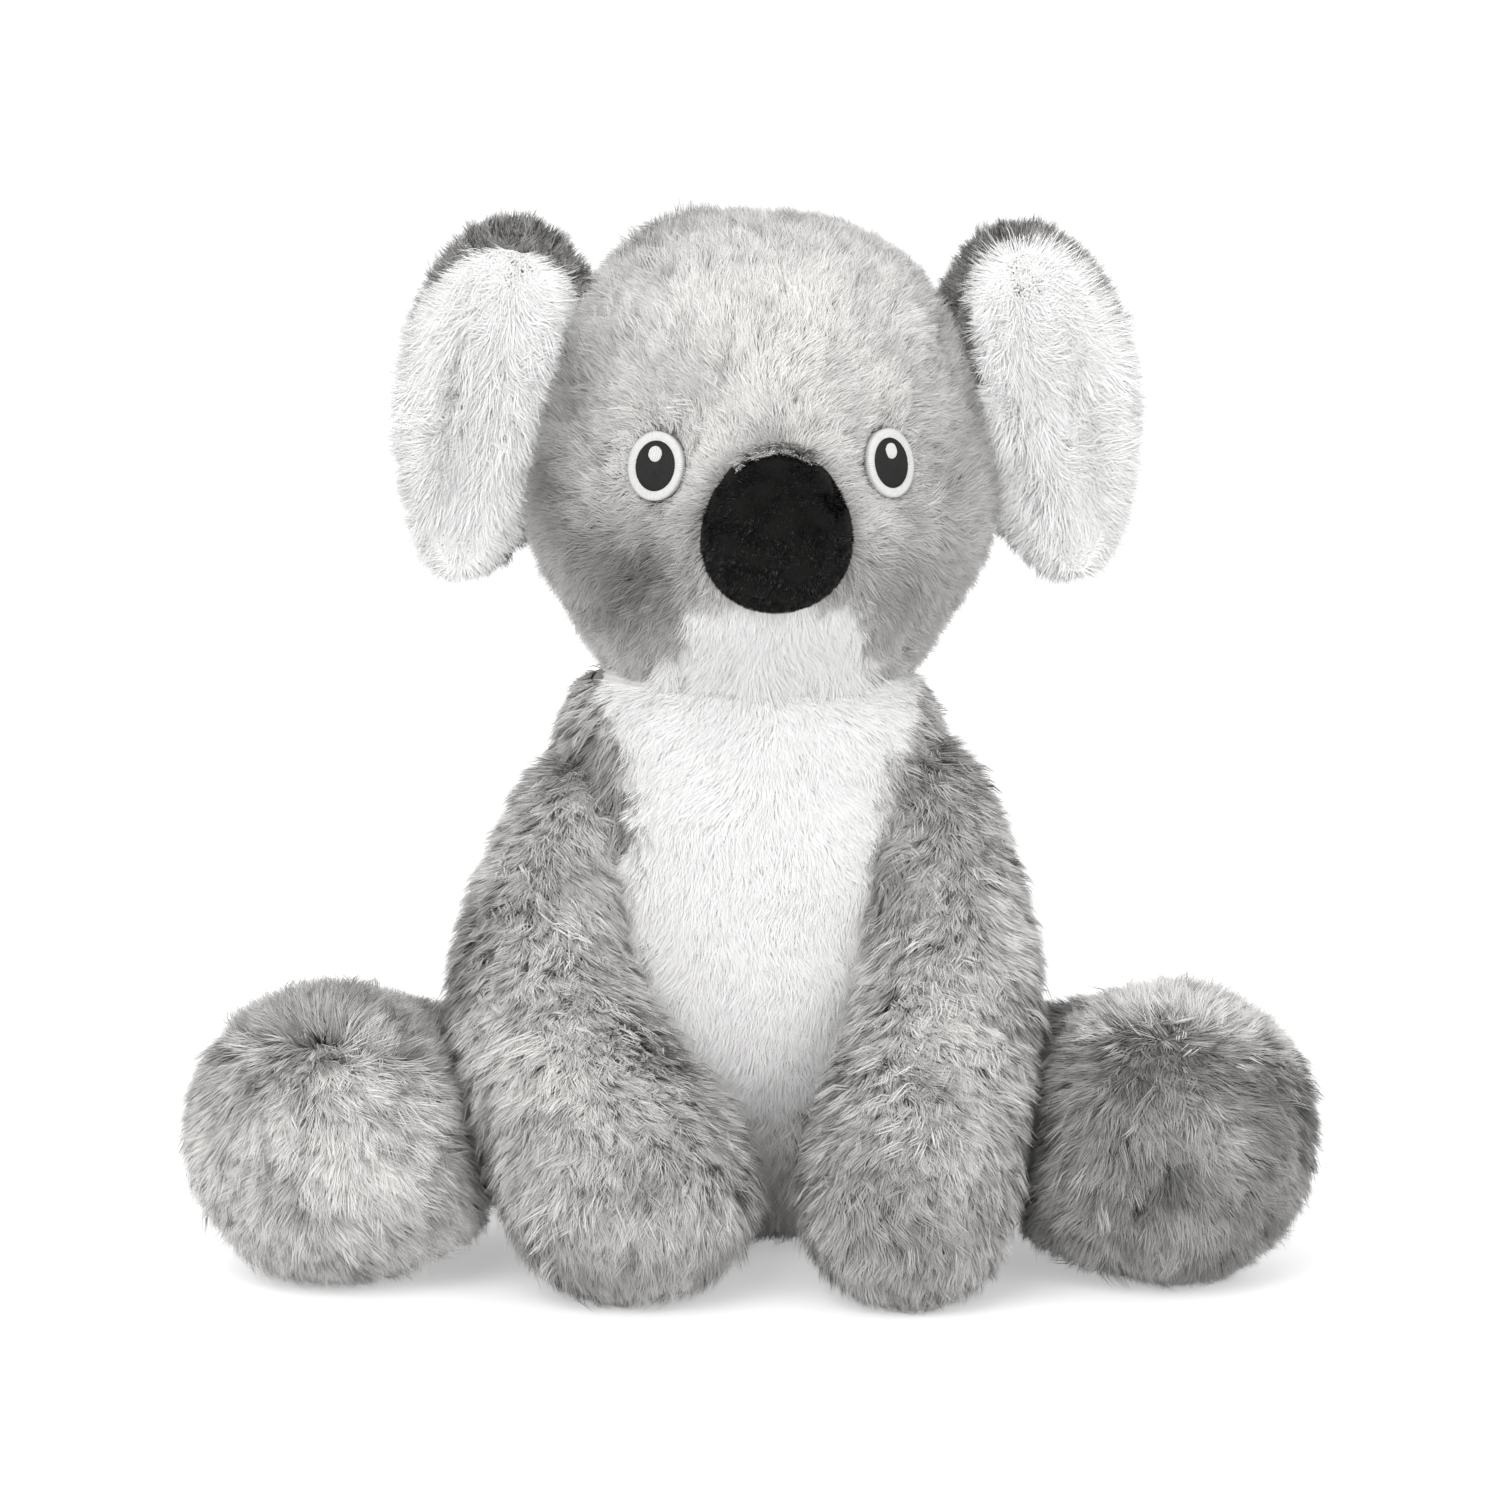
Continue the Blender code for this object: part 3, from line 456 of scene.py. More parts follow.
class Cloth(Enum):
    """What the pieces are made of: a finish, and the record's slot that it follows."""

    # Each pile's root colour is darker than its tip's: painted shade deep in the pile.
    GREY_PILE = (PileFinish("grey_pile", (0.46, 0.446, 0.43), (1.0, 0.986, 0.968), 0.08), Slot.GREY_PLUSH)
    WHITE_PILE = (
        PileFinish("white_pile", (0.93, 0.926, 0.92), (1.0, 0.998, 0.994), 0.05, 0.15, 0.06),
        Slot.WHITE_PLUSH,
    )
    VELOUR_PILE = (PileFinish("velour_pile", (0.6, 0.6, 0.6), (1.0, 0.96, 0.92), 0.0, 0.05), Slot.BLACK_VELOUR)
    GREY_SKIN = (SkinFinish("grey_ground", (0.20, 0.196, 0.192), (0.32, 0.315, 0.31)), Slot.GREY_PLUSH)
    WHITE_SKIN = (SkinFinish("white_ground", (0.62, 0.61, 0.6), (0.8, 0.79, 0.78)), Slot.WHITE_PLUSH)
    VELOUR = (VelourFinish("nose_velour", (0.004, 0.004, 0.0038), (0.013, 0.0127, 0.0123)), Slot.BLACK_VELOUR)
    WHITE_THREAD = (ThreadFinish("white_satin", (0.40, 0.40, 0.39), (0.78, 0.78, 0.765), 0.5), Slot.WHITE_THREAD)
    BLACK_THREAD = (
        ThreadFinish("black_satin", (0.003, 0.003, 0.003), (0.022, 0.0215, 0.021), 0.55),
        Slot.BLACK_THREAD,
    )
    FILLING = (FillingFinish("loose_fibre", (0.62, 0.62, 0.62), (0.9, 0.9, 0.9)), Slot.FIBRE)

    @property
    def finish(self) -> Finish:
        """The finish."""
        return self.value[0]

    @property
    def slot(self) -> Slot:
        """The record's slot."""
        return self.value[1]


# ---------------------------------------------------------------- meshes


def grid_faces(rows: int, columns: int) -> Array:
    """Quads of a grid of points numbered row by row, whose last column joins the first.

    Args:
        rows: rows of points.
        columns: points to a row.

    Returns:
        Four point numbers to a row.
    """
    row, column = np.meshgrid(np.arange(rows - 1), np.arange(columns), indexing="ij")
    beside = (column + 1) % columns
    here, below = row * columns, (row + 1) * columns
    return np.stack((here + column, here + beside, below + beside, below + column), axis=-1).reshape(-1, 4)


def fan(apex: int, first: int, columns: int, flipped: bool) -> Array:
    """Triangles from one point to a closed row of points: (apex, k, k + 1) for each point k of the row.

    Args:
        apex: the one point's number.
        first: the number of the row's first point.
        columns: how many points the row has.
        flipped: whether they turn the other way.

    Returns:
        Three point numbers to a row.
    """
    around = np.arange(columns)
    one, other = first + around, first + (around + 1) % columns
    if flipped:
        one, other = other, one
    return np.stack([np.full(columns, apex), one, other], axis=1)


def mesh_from(points: Array, quads: Array, triangles: Array | None = None) -> bpy.types.Mesh:
    """A smooth mesh of quads and triangles, which its piece names.

    Args:
        points: its points, one to a row.
        quads: four point numbers to a row.
        triangles: three point numbers to a row.

    Returns:
        The mesh.
    """
    threes = np.zeros((0, 3), np.int32) if triangles is None else triangles
    mesh = bpy.data.meshes.new("mesh")
    mesh.vertices.add(len(points))
    mesh.vertices.foreach_set("co", points.astype(np.float32).ravel())
    mesh.loops.add(quads.size + threes.size)
    mesh.loops.foreach_set("vertex_index", np.concatenate([quads.ravel(), threes.ravel()]).astype(np.int32))
    mesh.polygons.add(len(quads) + len(threes))
    starts = np.concatenate([np.arange(len(quads)) * 4, quads.size + np.arange(len(threes)) * 3])
    mesh.polygons.foreach_set("loop_start", starts.astype(np.int32))
    mesh.update(calc_edges=True)
    mesh.shade_smooth()
    return mesh


def triangle_count(piece: bpy.types.Object) -> int:
    """How many triangles a piece's faces come to."""
    return len(piece.data.loops) - 2 * len(piece.data.polygons)


def set_numbers(mesh: bpy.types.Mesh, name: str, values: Array) -> None:
    """Stores one number for each point of a mesh."""
    layer = mesh.attributes.new(name, "FLOAT", "POINT")
    layer.data.foreach_set("value", values.astype(np.float32).ravel())


def set_bake_map(mesh: bpy.types.Mesh, corners: Array) -> None:
    """Stores the map that the finish is baked on: one pair of numbers for each corner of a face."""
    mesh.uv_layers.new(name=BAKE_MAP)
    mesh.uv_layers[BAKE_MAP].data.foreach_set("uv", corners.astype(np.float32).ravel())


# ---------------------------------------------------------------- surfaces of two parameters


class Surface:
    """A closed surface of two parameters from 0 to 1: u from pole to pole, v round about."""

    outward_sign: float = 1.0

    def point(self, u: Array, v: Array) -> Array:
        """Points of the surface."""
        raise NotImplementedError

    def normal(self, u: Array, v: Array) -> Array:
        """Outward directions: the cross product of the two slopes, taken over a small step each way.

        Args:
            u: from pole to pole, 0 to 1.
            v: round about, 0 to 1.

        Returns:
            Unit vectors, one to a row.
        """
        step = 0.002
        low, high = np.clip(u - step, 0.0005, 0.9995), np.clip(u + step, 0.0005, 0.9995)
        middle = np.clip(u, 0.004, 0.996)
        down = self.point(high, v) - self.point(low, v)
        around = self.point(middle, v + step) - self.point(middle, v - step)
        return unit(np.cross(around, down)) * self.outward_sign

    def stretches(self, u: Array, v: Array) -> tuple[Array, Array]:
        """How many metres one step of u and one of v are worth at each place.

        Args:
            u: from pole to pole, 0 to 1.
            v: round about, 0 to 1.

        Returns:
            The two lengths of the slopes.
        """
        step = 0.004
        down = self.point(np.clip(u + step, 0, 1), v) - self.point(np.clip(u - step, 0, 1), v)
        around = self.point(u, v + step) - self.point(u, v - step)
        return np.linalg.norm(down, axis=-1) / (2 * step), np.linalg.norm(around, axis=-1) / (2 * step)

    def scatter(self, density: float, rng: np.random.Generator) -> tuple[Array, Array]:
        """Random places spread evenly over the area.

        The surface is cut into a grid of cells, each cell is drawn as often as its area asks, and a place
        is then drawn within it.

        Args:
            density: places to the square metre.
            rng: the source of chance.

        Returns:
            Their u and v.
        """
        steps = 90
        u, v = np.meshgrid(np.linspace(0, 1, steps + 1), np.linspace(0, 1, steps + 1), indexing="ij")
        points = self.point(u.ravel(), v.ravel()).reshape(steps + 1, steps + 1, 3)
        one, other = points[1:, 1:] - points[:-1, :-1], points[1:, :-1] - points[:-1, 1:]
        areas = np.linalg.norm(np.cross(one, other), axis=-1).ravel() / 2
        count = round(areas.sum() * density)
        cells = np.searchsorted(np.cumsum(areas) / areas.sum(), rng.uniform(0, 1, count))
        cells = np.minimum(cells, len(areas) - 1)
        u = (cells // steps + rng.uniform(0, 1, count)) / steps
        return u, (cells % steps + rng.uniform(0, 1, count)) / steps

    def sheet(self, inset: float, rows: int, columns: int) -> tuple[Array, Array, Array]:
        """A grid over the surface, drawn in by a length, with one point at each pole.

        Args:
            inset: how far inside the surface it lies.
            rows: steps from pole to pole.
            columns: steps round about.

        Returns:
            The points, the quads and the triangles at the poles.
        """
        u, v = np.meshgrid(np.linspace(0, 1, rows + 1)[1:-1], np.arange(columns) / columns, indexing="ij")
        u, v = u.ravel(), v.ravel()
        body = self.point(u, v) - inset * self.normal(u, v)
        ends = np.array([0.0, 1.0])
        tops = self.point(ends, ends * 0)
        tops -= inset * unit(tops - body.mean(axis=0))
        quads = grid_faces(rows - 1, columns)
        last_row = (rows - 2) * columns
        caps = fan(len(body), 0, columns, True), fan(len(body) + 1, last_row, columns, False)
        triangles = np.concatenate(caps)
        if self.outward_sign > 0:
            quads, triangles = quads[:, ::-1], triangles[:, ::-1]
        return np.concatenate([body, tops]), quads, triangles[:, ::-1]


class RingForm(Surface):
    """A stuffed form through ellipses whose planes are all square to one line.

    Between the rings the middles and half axes follow a uniform cubic B-spline, and past a pole the middles
    repeat in a mirror while the half axes change sign, which closes the end with a round cap. A point is
    middle + cos(2 pi v) across + sin(2 pi v) along.
    """

    def __init__(self, middles: Array, across: Array, along: Array, line: Array) -> None:
        """Lays the rings out.

        Args:
            middles: the rings' middles, pole to pole.
            across: their first half axes.
            along: their second half axes.
            line: the direction that every ring is square to.
        """
        self.rings = [
            np.concatenate([sign * ring[1:2], ring, sign * ring[-2:-1]])
            for ring, sign in ((middles, 1), (across, -1), (along, -1))
        ]
        self.spans = len(middles) - 1
        self.line = line
        u = np.linspace(0, 1, 241)
        centre, first, second = self.frames(u)
        self.across_way = unit(across[np.argmax(np.linalg.norm(across, axis=1))])
        self.along_way = unit(along[np.argmax(np.linalg.norm(along, axis=1))])
        places = centre @ line
        order = np.argsort(places)
        self.table = [
            column[order]
            for column in (
                places,
                centre @ self.across_way,
                centre @ self.along_way,
                np.linalg.norm(first, axis=1),
                np.linalg.norm(second, axis=1),
            )
        ]
        half_way, one_side = np.array([0.5]), np.array([0.0])
        away = self.point(half_way, one_side) - self.frames(half_way)[0]
        self.outward_sign = float(np.sign(dot(self.normal(half_way, one_side), away))[0])

    def frames(self, u: Array) -> list[Array]:
        """Middles and half axes at u, by the cubic B-spline's four weights.

        Args:
            u: from pole to pole, 0 to 1.

        Returns:
            The middles, the first half axes and the second.
        """
        place = np.clip(u, 0, 1) * self.spans
        start = np.minimum(place.astype(int), self.spans - 1)
        t = (place - start)[:, None]
        weights = ((1 - t) ** 3, 3 * t**3 - 6 * t**2 + 4, -3 * t**3 + 3 * t**2 + 3 * t + 1, t**3)
        return [sum(w * ring[start + number] for number, w in enumerate(weights)) / 6 for ring in self.rings]

    def point(self, u: Array, v: Array) -> Array:
        """Points of the form.

        Args:
            u: from pole to pole, 0 to 1.
            v: round about, 0 to 1.

        Returns:
            The points, one to a row.
        """
        middle, across, along = self.frames(u)
        angle = (2 * math.pi * v)[:, None]
        return middle + np.cos(angle) * across + np.sin(angle) * along

    def depth(self, points: Array) -> Array:
        """About how far inside the form each point is, from its place in the ring at its own height.

        Args:
            points: places in the world, one to a row.

        Returns:
            A length for each, less than zero outside.
        """
        places, first_middle, second_middle, first_half, second_half = self.table
        height = points @ self.line
        half_one = np.maximum(np.interp(height, places, first_half), 1e-5)
        half_two = np.maximum(np.interp(height, places, second_half), 1e-5)
        one = points @ self.across_way - np.interp(height, places, first_middle)
        two = points @ self.along_way - np.interp(height, places, second_middle)
        share = np.sqrt((one / half_one) ** 2 + (two / half_two) ** 2)
        beyond = np.maximum(places[0] - height, height - places[-1])
        return np.where(beyond > 0, -beyond, (1 - share) * np.minimum(half_one, half_two))

    def dropped(self, floor: float) -> "RingForm":
        """The same form, shifted up or down so that its lowest point comes to a height.

        Args:
            floor: that height.

        Returns:
            The shifted form.
        """
        u, v = np.meshgrid(np.linspace(0, 1, 160), np.linspace(0, 1, 97), indexing="ij")
        shift = np.array([0, 0, floor - self.point(u.ravel(), v.ravel())[:, 2].min()])
        middles, across, along = (ring[1:-1] for ring in self.rings)
        return RingForm(middles + shift, across, along, self.line)


# ---------------------------------------------------------------- pile


@dataclass(frozen=True)
class Pile:
    """One layer of a region's fur. Lengths are in metres, leans in degrees, densities to the square metre.

    Attributes:
        length: how long a strand is.
        density: how many strands there are.
        inset: how far inside the form they start.
        width: how wide a strand is at its root.
        bends: how many straight steps a strand is drawn in.
        root_lean: how far its first step leans over.
        tip_lean: how far its last step leans over, if it has more than one.
        lock_radius: how far a lock reaches from its middle.
        lock_size: how many strands a lock has.
        lock_pull: how far a lock's tips are drawn together, 1 being all the way.
        stray: how far the locks' ways scatter, as a share of the way itself.
        fray: how far the ways of the strands in a lock scatter, measured alike.
        uneven: how far the locks' lengths scatter, as a share.
        lock_tone: how far the locks' tones scatter, as a share.
        tone: how far the strands' tones scatter.
        mottle: how far the tone varies in broad patches.
        wander: how far off its own place a lock takes its shade.
    """

    length: float
    density: float
    inset: float
    width: float = 0.00040
    bends: int = 1
    root_lean: float = 30
    tip_lean: float = 58
    lock_radius: float = 0.0018
    lock_size: int = 12
    lock_pull: float = 0.5
    stray: float = 0.3
    fray: float = 0.3
    uneven: float = 0.16
    lock_tone: float = 0.08
    tone: float = 0.10
    mottle: float = 0.10
    wander: float = 0.0020


@dataclass(frozen=True)
class Coat:
    """What a region asks of its pile at each place."""

    comb: Callable[[Array, Array], Array]
    shade: Callable[[Array], Array]
    trim: Callable[[Array], Array] = field(default=lambda points: np.ones(len(points)))
    keep: Callable[[Array], Array] = field(default=lambda points: np.ones(len(points), bool))


@dataclass(frozen=True)
class Blades:
    """The strands of one layer: for each its points, their normals, its shade, and the triangles' pattern."""

    points: Array
    normals: Array
    shade: Array
    bends: int

    @property
    def pattern(self) -> Array:
        """The corners of a strand's triangles, root to tip."""
        ahead = [(2 * k, 2 * k + 1, 2 * k + 2) for k in range(self.bends)]
        return np.array(ahead + [(2 * k + 1, 2 * k + 3, 2 * k + 2) for k in range(self.bends - 1)])

    @property
    def along(self) -> Array:
        """How far from the root each point of a strand is."""
        return np.minimum(np.arange(self.points.shape[1]) // 2, self.bends) / self.bends

    @property
    def sideways(self) -> Array:
        """Which edge of its strand each point is on: 0, 1, or a half at the tip."""
        return np.append(np.tile([0.0, 1.0], self.bends), 0.5)


class Furrier:
    """Grows one layer of pile on a surface, as thin tapered blades."""

    def __init__(self, surface: Surface, pile: Pile, coat: Coat, seed: int) -> None:
        """Takes what the fur grows on and how it grows.

        Args:
            surface: the form that the fur fills out to.
            pile: lengths, leans and locks.
            coat: comb, shade, trim and region.
            seed: the seed of all chance.
        """
        self.surface = surface
        self.pile = pile
        self.coat = coat
        self.rng = np.random.default_rng(seed)
        self.seed = seed

    def roots(self) -> tuple[Array, Array, Array, Array, Array]:
        """Where strands start, in locks.

        A lock's middle is a random place. Its strands lie round it on a disc: for a distance
        r = LOCK_SPREAD radius x root(chance) and an angle a, du = r cos a / |S_u| and dv = r sin a / |S_v|.

        Returns:
            For each strand its root and outward direction, the same for the middle of its lock, and the lock's
            number.
        """
        pile = self.pile
        u, v = self.surface.scatter(pile.density / pile.lock_size, self.rng)
        middles = self.surface.point(u, v)
        kept = self.coat.keep(middles)
        u, v = u[kept], v[kept]
        down, around = self.surface.stretches(u, v)
        lock = np.repeat(np.arange(len(u)), pile.lock_size)
        reach = pile.lock_radius * LOCK_SPREAD * np.sqrt(self.rng.uniform(0, 1, len(lock)))
        angle = self.rng.uniform(0, 2 * math.pi, len(lock))
        own_u = u[lock] + reach * np.cos(angle) / np.maximum(down[lock], 1e-3)
        own_v = v[lock] + reach * np.sin(angle) / np.maximum(around[lock], 0.012)
        own_u = np.clip(own_u, 0.002, 0.998)
        skin = self.surface.point(own_u, own_v)
        outward = self.surface.normal(own_u, own_v)
        lock_outward = self.surface.normal(u, v)
        lock_root = self.surface.point(u, v) - pile.inset * lock_outward
        kept = self.coat.keep(skin)
        lock = lock[kept]
        return skin[kept] - pile.inset * outward[kept], outward[kept], lock_root[lock], lock_outward[lock], lock

    def combed(self, points: Array, outward: Array, stray: Array) -> Array:
        """The way the fur lies: the comb's way with smooth wanderings and a chance one, made tangent.

        Args:
            points: places in the world, one to a row.
            outward: the outward direction at each place.
            stray: the chance turn of each strand.

        Returns:
            Unit vectors along the surface.
        """
        way = unit(self.coat.comb(points, outward))
        across = np.cross(outward, way)
        slow = 0.6 * waves(points, 0.030, self.seed + 1) + 0.4 * waves(points, 0.011, self.seed + 2)
        way = way + across * (self.pile.stray * 1.5 * slow + stray)[:, None]
        return unit(way - outward * dot(way, outward)[:, None])

    def spine(self, root: Array, outward: Array, way: Array, length: Array) -> list[Array]:
        """Points down a strand: each step is length / bends long and leans over further than the last.

        Args:
            root: where each strand starts.
            outward: the outward direction at each place.
            way: the way each leans.
            length: how long each is.

        Returns:
            The strands' points, step by step.
        """
        pile = self.pile
        points = [root]
        for lean in np.linspace(math.radians(pile.root_lean), math.radians(pile.tip_lean), pile.bends):
            step = outward * math.cos(lean) + way * math.sin(lean)
            points.append(points[-1] + step * (length / pile.bends)[:, None])
        return points

    def blades(self) -> Blades:
        """Grows the strands.

        A strand follows its own spine, and further out is drawn the more towards its lock's spine, by pull x
        (share of the way)^GATHER. It is a flat blade whose half width falls off as 1 - share^TAPER, turned a
        little about its own line. A lock's lightness is 1 + tone x (1 - e), where e is drawn from an
        exponential law, so that most locks are pale and a few are dark. It takes the region's shade from a
        place a little off its own, so that no tone ends in a clean line.

        Returns:
            The strands.
        """
        pile, rng = self.pile, self.rng
        root, outward, lock_root, lock_outward, lock = self.roots()
        count = len(root)
        locks = int(lock.max()) + 1
        lock_stray = rng.normal(0, pile.stray, locks)[lock]
        lock_length = rng.normal(1, pile.uneven, locks).clip(0.5, 1.5)[lock]
        lock_tone = pile.lock_tone * (1 - rng.exponential(1, locks))[lock]
        own_way = self.combed(root, outward, lock_stray + rng.normal(0, pile.fray, count))
        lock_way = self.combed(lock_root, lock_outward, lock_stray)
        length = pile.length * self.coat.trim(root) * lock_length
        own = self.spine(root, outward, own_way, length * rng.uniform(0.7, 1.1, count))
        shared = self.spine(lock_root, lock_outward, lock_way, length)
        first_step = unit(own[1] - own[0])
        flat = unit(np.cross(first_step, outward))
        roll = rng.normal(0, ROLL, count)[:, None]
        side = unit(flat * np.cos(roll) + np.cross(first_step, flat) * np.sin(roll))
        points, normals, steps = [], [], pile.bends
        for row in range(steps + 1):
            share = row / steps
            line = own[row] + (shared[row] - own[row]) * pile.lock_pull * share**GATHER
            line[:, 2] = np.maximum(line[:, 2], FLOOR_CLEAR)
            lean = unit(own[min(row + 1, steps)] - own[min(row, steps - 1)])
            shown = unit(outward + ROUNDING * unit(np.cross(side, lean)))
            half = side * (pile.width / 2 * (1 - share**TAPER))
            for offset in (-half, half) if row < steps else (0,):
                points.append(line + offset)
                normals.append(shown)
        mottling = 1 + pile.mottle * (
            0.8 * waves(root, 0.026, self.seed + 3) + 0.5 * waves(root, 0.009, self.seed + 4)
        )
        chance = 1 + lock_tone + rng.normal(0, pile.tone, count)
        shaded = lock_root + rng.normal(0, pile.wander, (locks, 3))[lock]
        shade = (self.coat.shade(shaded) * mottling * chance).clip(0.004, 0.98)
        return Blades(np.stack(points, axis=1), np.stack(normals, axis=1), shade, steps)


def pile_mesh(surface: Surface, coat: Coat, layers: tuple[Pile, ...], seed: int, cells: int) -> bpy.types.Mesh:
    """A region's fur, layer by layer, as one mesh.

    Its bake map is a square of tall cells, in an eighth as many rows as there are cells to a row. A strand
    runs up one cell, and neighbours in a lock share theirs.

    Args:
        surface: the form that the fur fills out to.
        coat: comb, shade, trim and region.
        layers: the layers of pile.
        seed: the seed of all chance.
        cells: how many cells there are across.

    Returns:
        The mesh, with `along` and `shade` on its points.
    """
    grown = [Furrier(surface, pile, coat, seed + 100 * number).blades() for number, pile in enumerate(layers)]
    total = sum(len(layer.shade) for layer in grown)
    rows = cells // CELL_ASPECT
    points, normals, along, shade, faces, corners = [], [], [], [], [], []
    first_point, first_strand = 0, 0
    for layer in grown:
        count, width = layer.points.shape[:2]
        pattern = layer.pattern
        numbers = np.arange(count)
        faces.append((first_point + numbers[:, None, None] * width + pattern).reshape(-1, 3))
        points.append(layer.points.reshape(-1, 3))
        normals.append(layer.normals.reshape(-1, 3))
        along.append(np.tile(layer.along, count))
        shade.append(np.repeat(layer.shade, width))
        cell = (first_strand + numbers) * (cells * rows) // total
        across = (cell % cells)[:, None] + layer.sideways[pattern.ravel()]
        upward = (cell // cells)[:, None] + CELL_MARGIN + (1 - 2 * CELL_MARGIN) * layer.along[pattern.ravel()]
        corners.append(np.stack([across / cells, upward / rows], axis=-1).reshape(-1, 2))
        first_point += count * width
        first_strand += count
    mesh = mesh_from(np.concatenate(points), np.zeros((0, 4), np.int32), np.concatenate(faces))
    shown = mesh.attributes.new("custom_normal", "FLOAT_VECTOR", "POINT")
    shown.data.foreach_set("vector", np.concatenate(normals).astype(np.float32).ravel())
    set_numbers(mesh, "along", np.concatenate(along))
    set_numbers(mesh, "shade", np.concatenate(shade))
    set_bake_map(mesh, np.concatenate(corners))
    return mesh


def skin_mesh(
    surface: Surface, inset: float, rows: int, columns: int, keep: Callable[[Array], Array] | None = None
) -> bpy.types.Mesh:
    """The sewn skin under a pile, with small puckers: waves 0.25 mm deep, some 9 mm apart.

    Args:
        surface: the form that the pile fills out to.
        inset: how far inside it the skin lies.
        rows: steps from pole to pole.
        columns: steps round about.
        keep: which faces stay, by their middles, where the skin is one panel of the form.

    Returns:
        The mesh.
    """
    points, quads, triangles = surface.sheet(inset, rows, columns)
    middle = points.mean(axis=0)
    points = points + unit(points - middle) * (0.00025 * waves(points, 0.009, rows))[:, None]
    points[:, 2] = np.maximum(points[:, 2], FLOOR_CLEAR)
    if keep is not None:
        quads = quads[keep(points[quads].mean(axis=1))]
        triangles = triangles[keep(points[triangles].mean(axis=1))]
        used, numbers = np.unique(np.concatenate([quads.ravel(), triangles.ravel()]), return_inverse=True)
        points = points[used]
        quads, triangles = numbers[: quads.size].reshape(-1, 4), numbers[quads.size :].reshape(-1, 3)
    return mesh_from(points, quads, triangles)


@dataclass(frozen=True)
class Comb:
    """The way a region's fur lies: a steady way, plus one away from a point."""

    steady: Place = (0.0, 0.0, -1.0)
    source: Place = (0.0, 0.0, 0.0)
    spread: float = 0.0

    def __call__(self, points: Array, outward: Array) -> Array:
        """The ways at some places: steady + spread x (p - source) / |p - source|."""
        return np.array(self.steady) + self.spread * unit(points - np.array(self.source))


@dataclass(frozen=True)
class Spot:
    """A place where the fur is lighter or darker: its shade is multiplied by gain at the middle."""

    place: Place
    reach: float
    gain: float


def spotted(shade: Array, points: Array, spots: tuple[Spot, ...]) -> Array:
    """The lightness at some places with their spots: times 1 + (gain - 1) exp(-(d / reach)^2) for each.

    Args:
        shade: their lightness without the spots.
        points: places in the world, one to a row.
        spots: the spots.

    Returns:
        Their lightness.
    """
    for spot in spots:
        shade = shade * (1 + (spot.gain - 1) * near(points, np.array(spot.place), spot.reach))
    return shade


@dataclass(frozen=True)
class Tone:
    """A region's lightness: one level with spots."""

    level: float
    spots: tuple[Spot, ...] = ()

    def __call__(self, points: Array) -> Array:
        """The lightness at some places."""
        return spotted(np.full(len(points), self.level), points, self.spots)


def body_layers(inset: float, density: float) -> tuple[Pile, ...]:
    """The grey body fur: a dense coat that lies nearly flat, and a few longer hairs that curve over it.

    Args:
        inset: how far inside the form the roots lie.
        density: strands of the dense coat to the square metre.

    Returns:
        The layers.
    """
    return (
        Pile(
            length=0.0086, density=density, inset=inset, width=0.00039, root_lean=57, lock_radius=0.0015,
            lock_size=10, lock_pull=0.6, stray=0.4, fray=0.4, uneven=0.2, lock_tone=0.21, mottle=0.13,
        ),
        Pile(
            length=0.0098, density=density * 0.08, inset=inset, width=0.00034, bends=2, root_lean=32,
            tip_lean=72, lock_radius=0.0016, lock_size=8, stray=0.5, uneven=0.25, lock_tone=0.20, mottle=0.13,
        ),
    )


def short_layers(inset: float, density: float) -> tuple[Pile, ...]:
    """The clipped white pile of the bib and chin: one dense layer.

    Args:
        inset: how far inside the form the roots lie.
        density: strands to the square metre.

    Returns:
        The layers.
    """
    return (
        Pile(
            length=0.0066, density=density, inset=inset, width=0.00036, root_lean=54, lock_radius=0.0014,
            lock_size=10, lock_pull=0.3, stray=0.35, lock_tone=0.008, tone=0.015, mottle=0.012,
        ),
    )


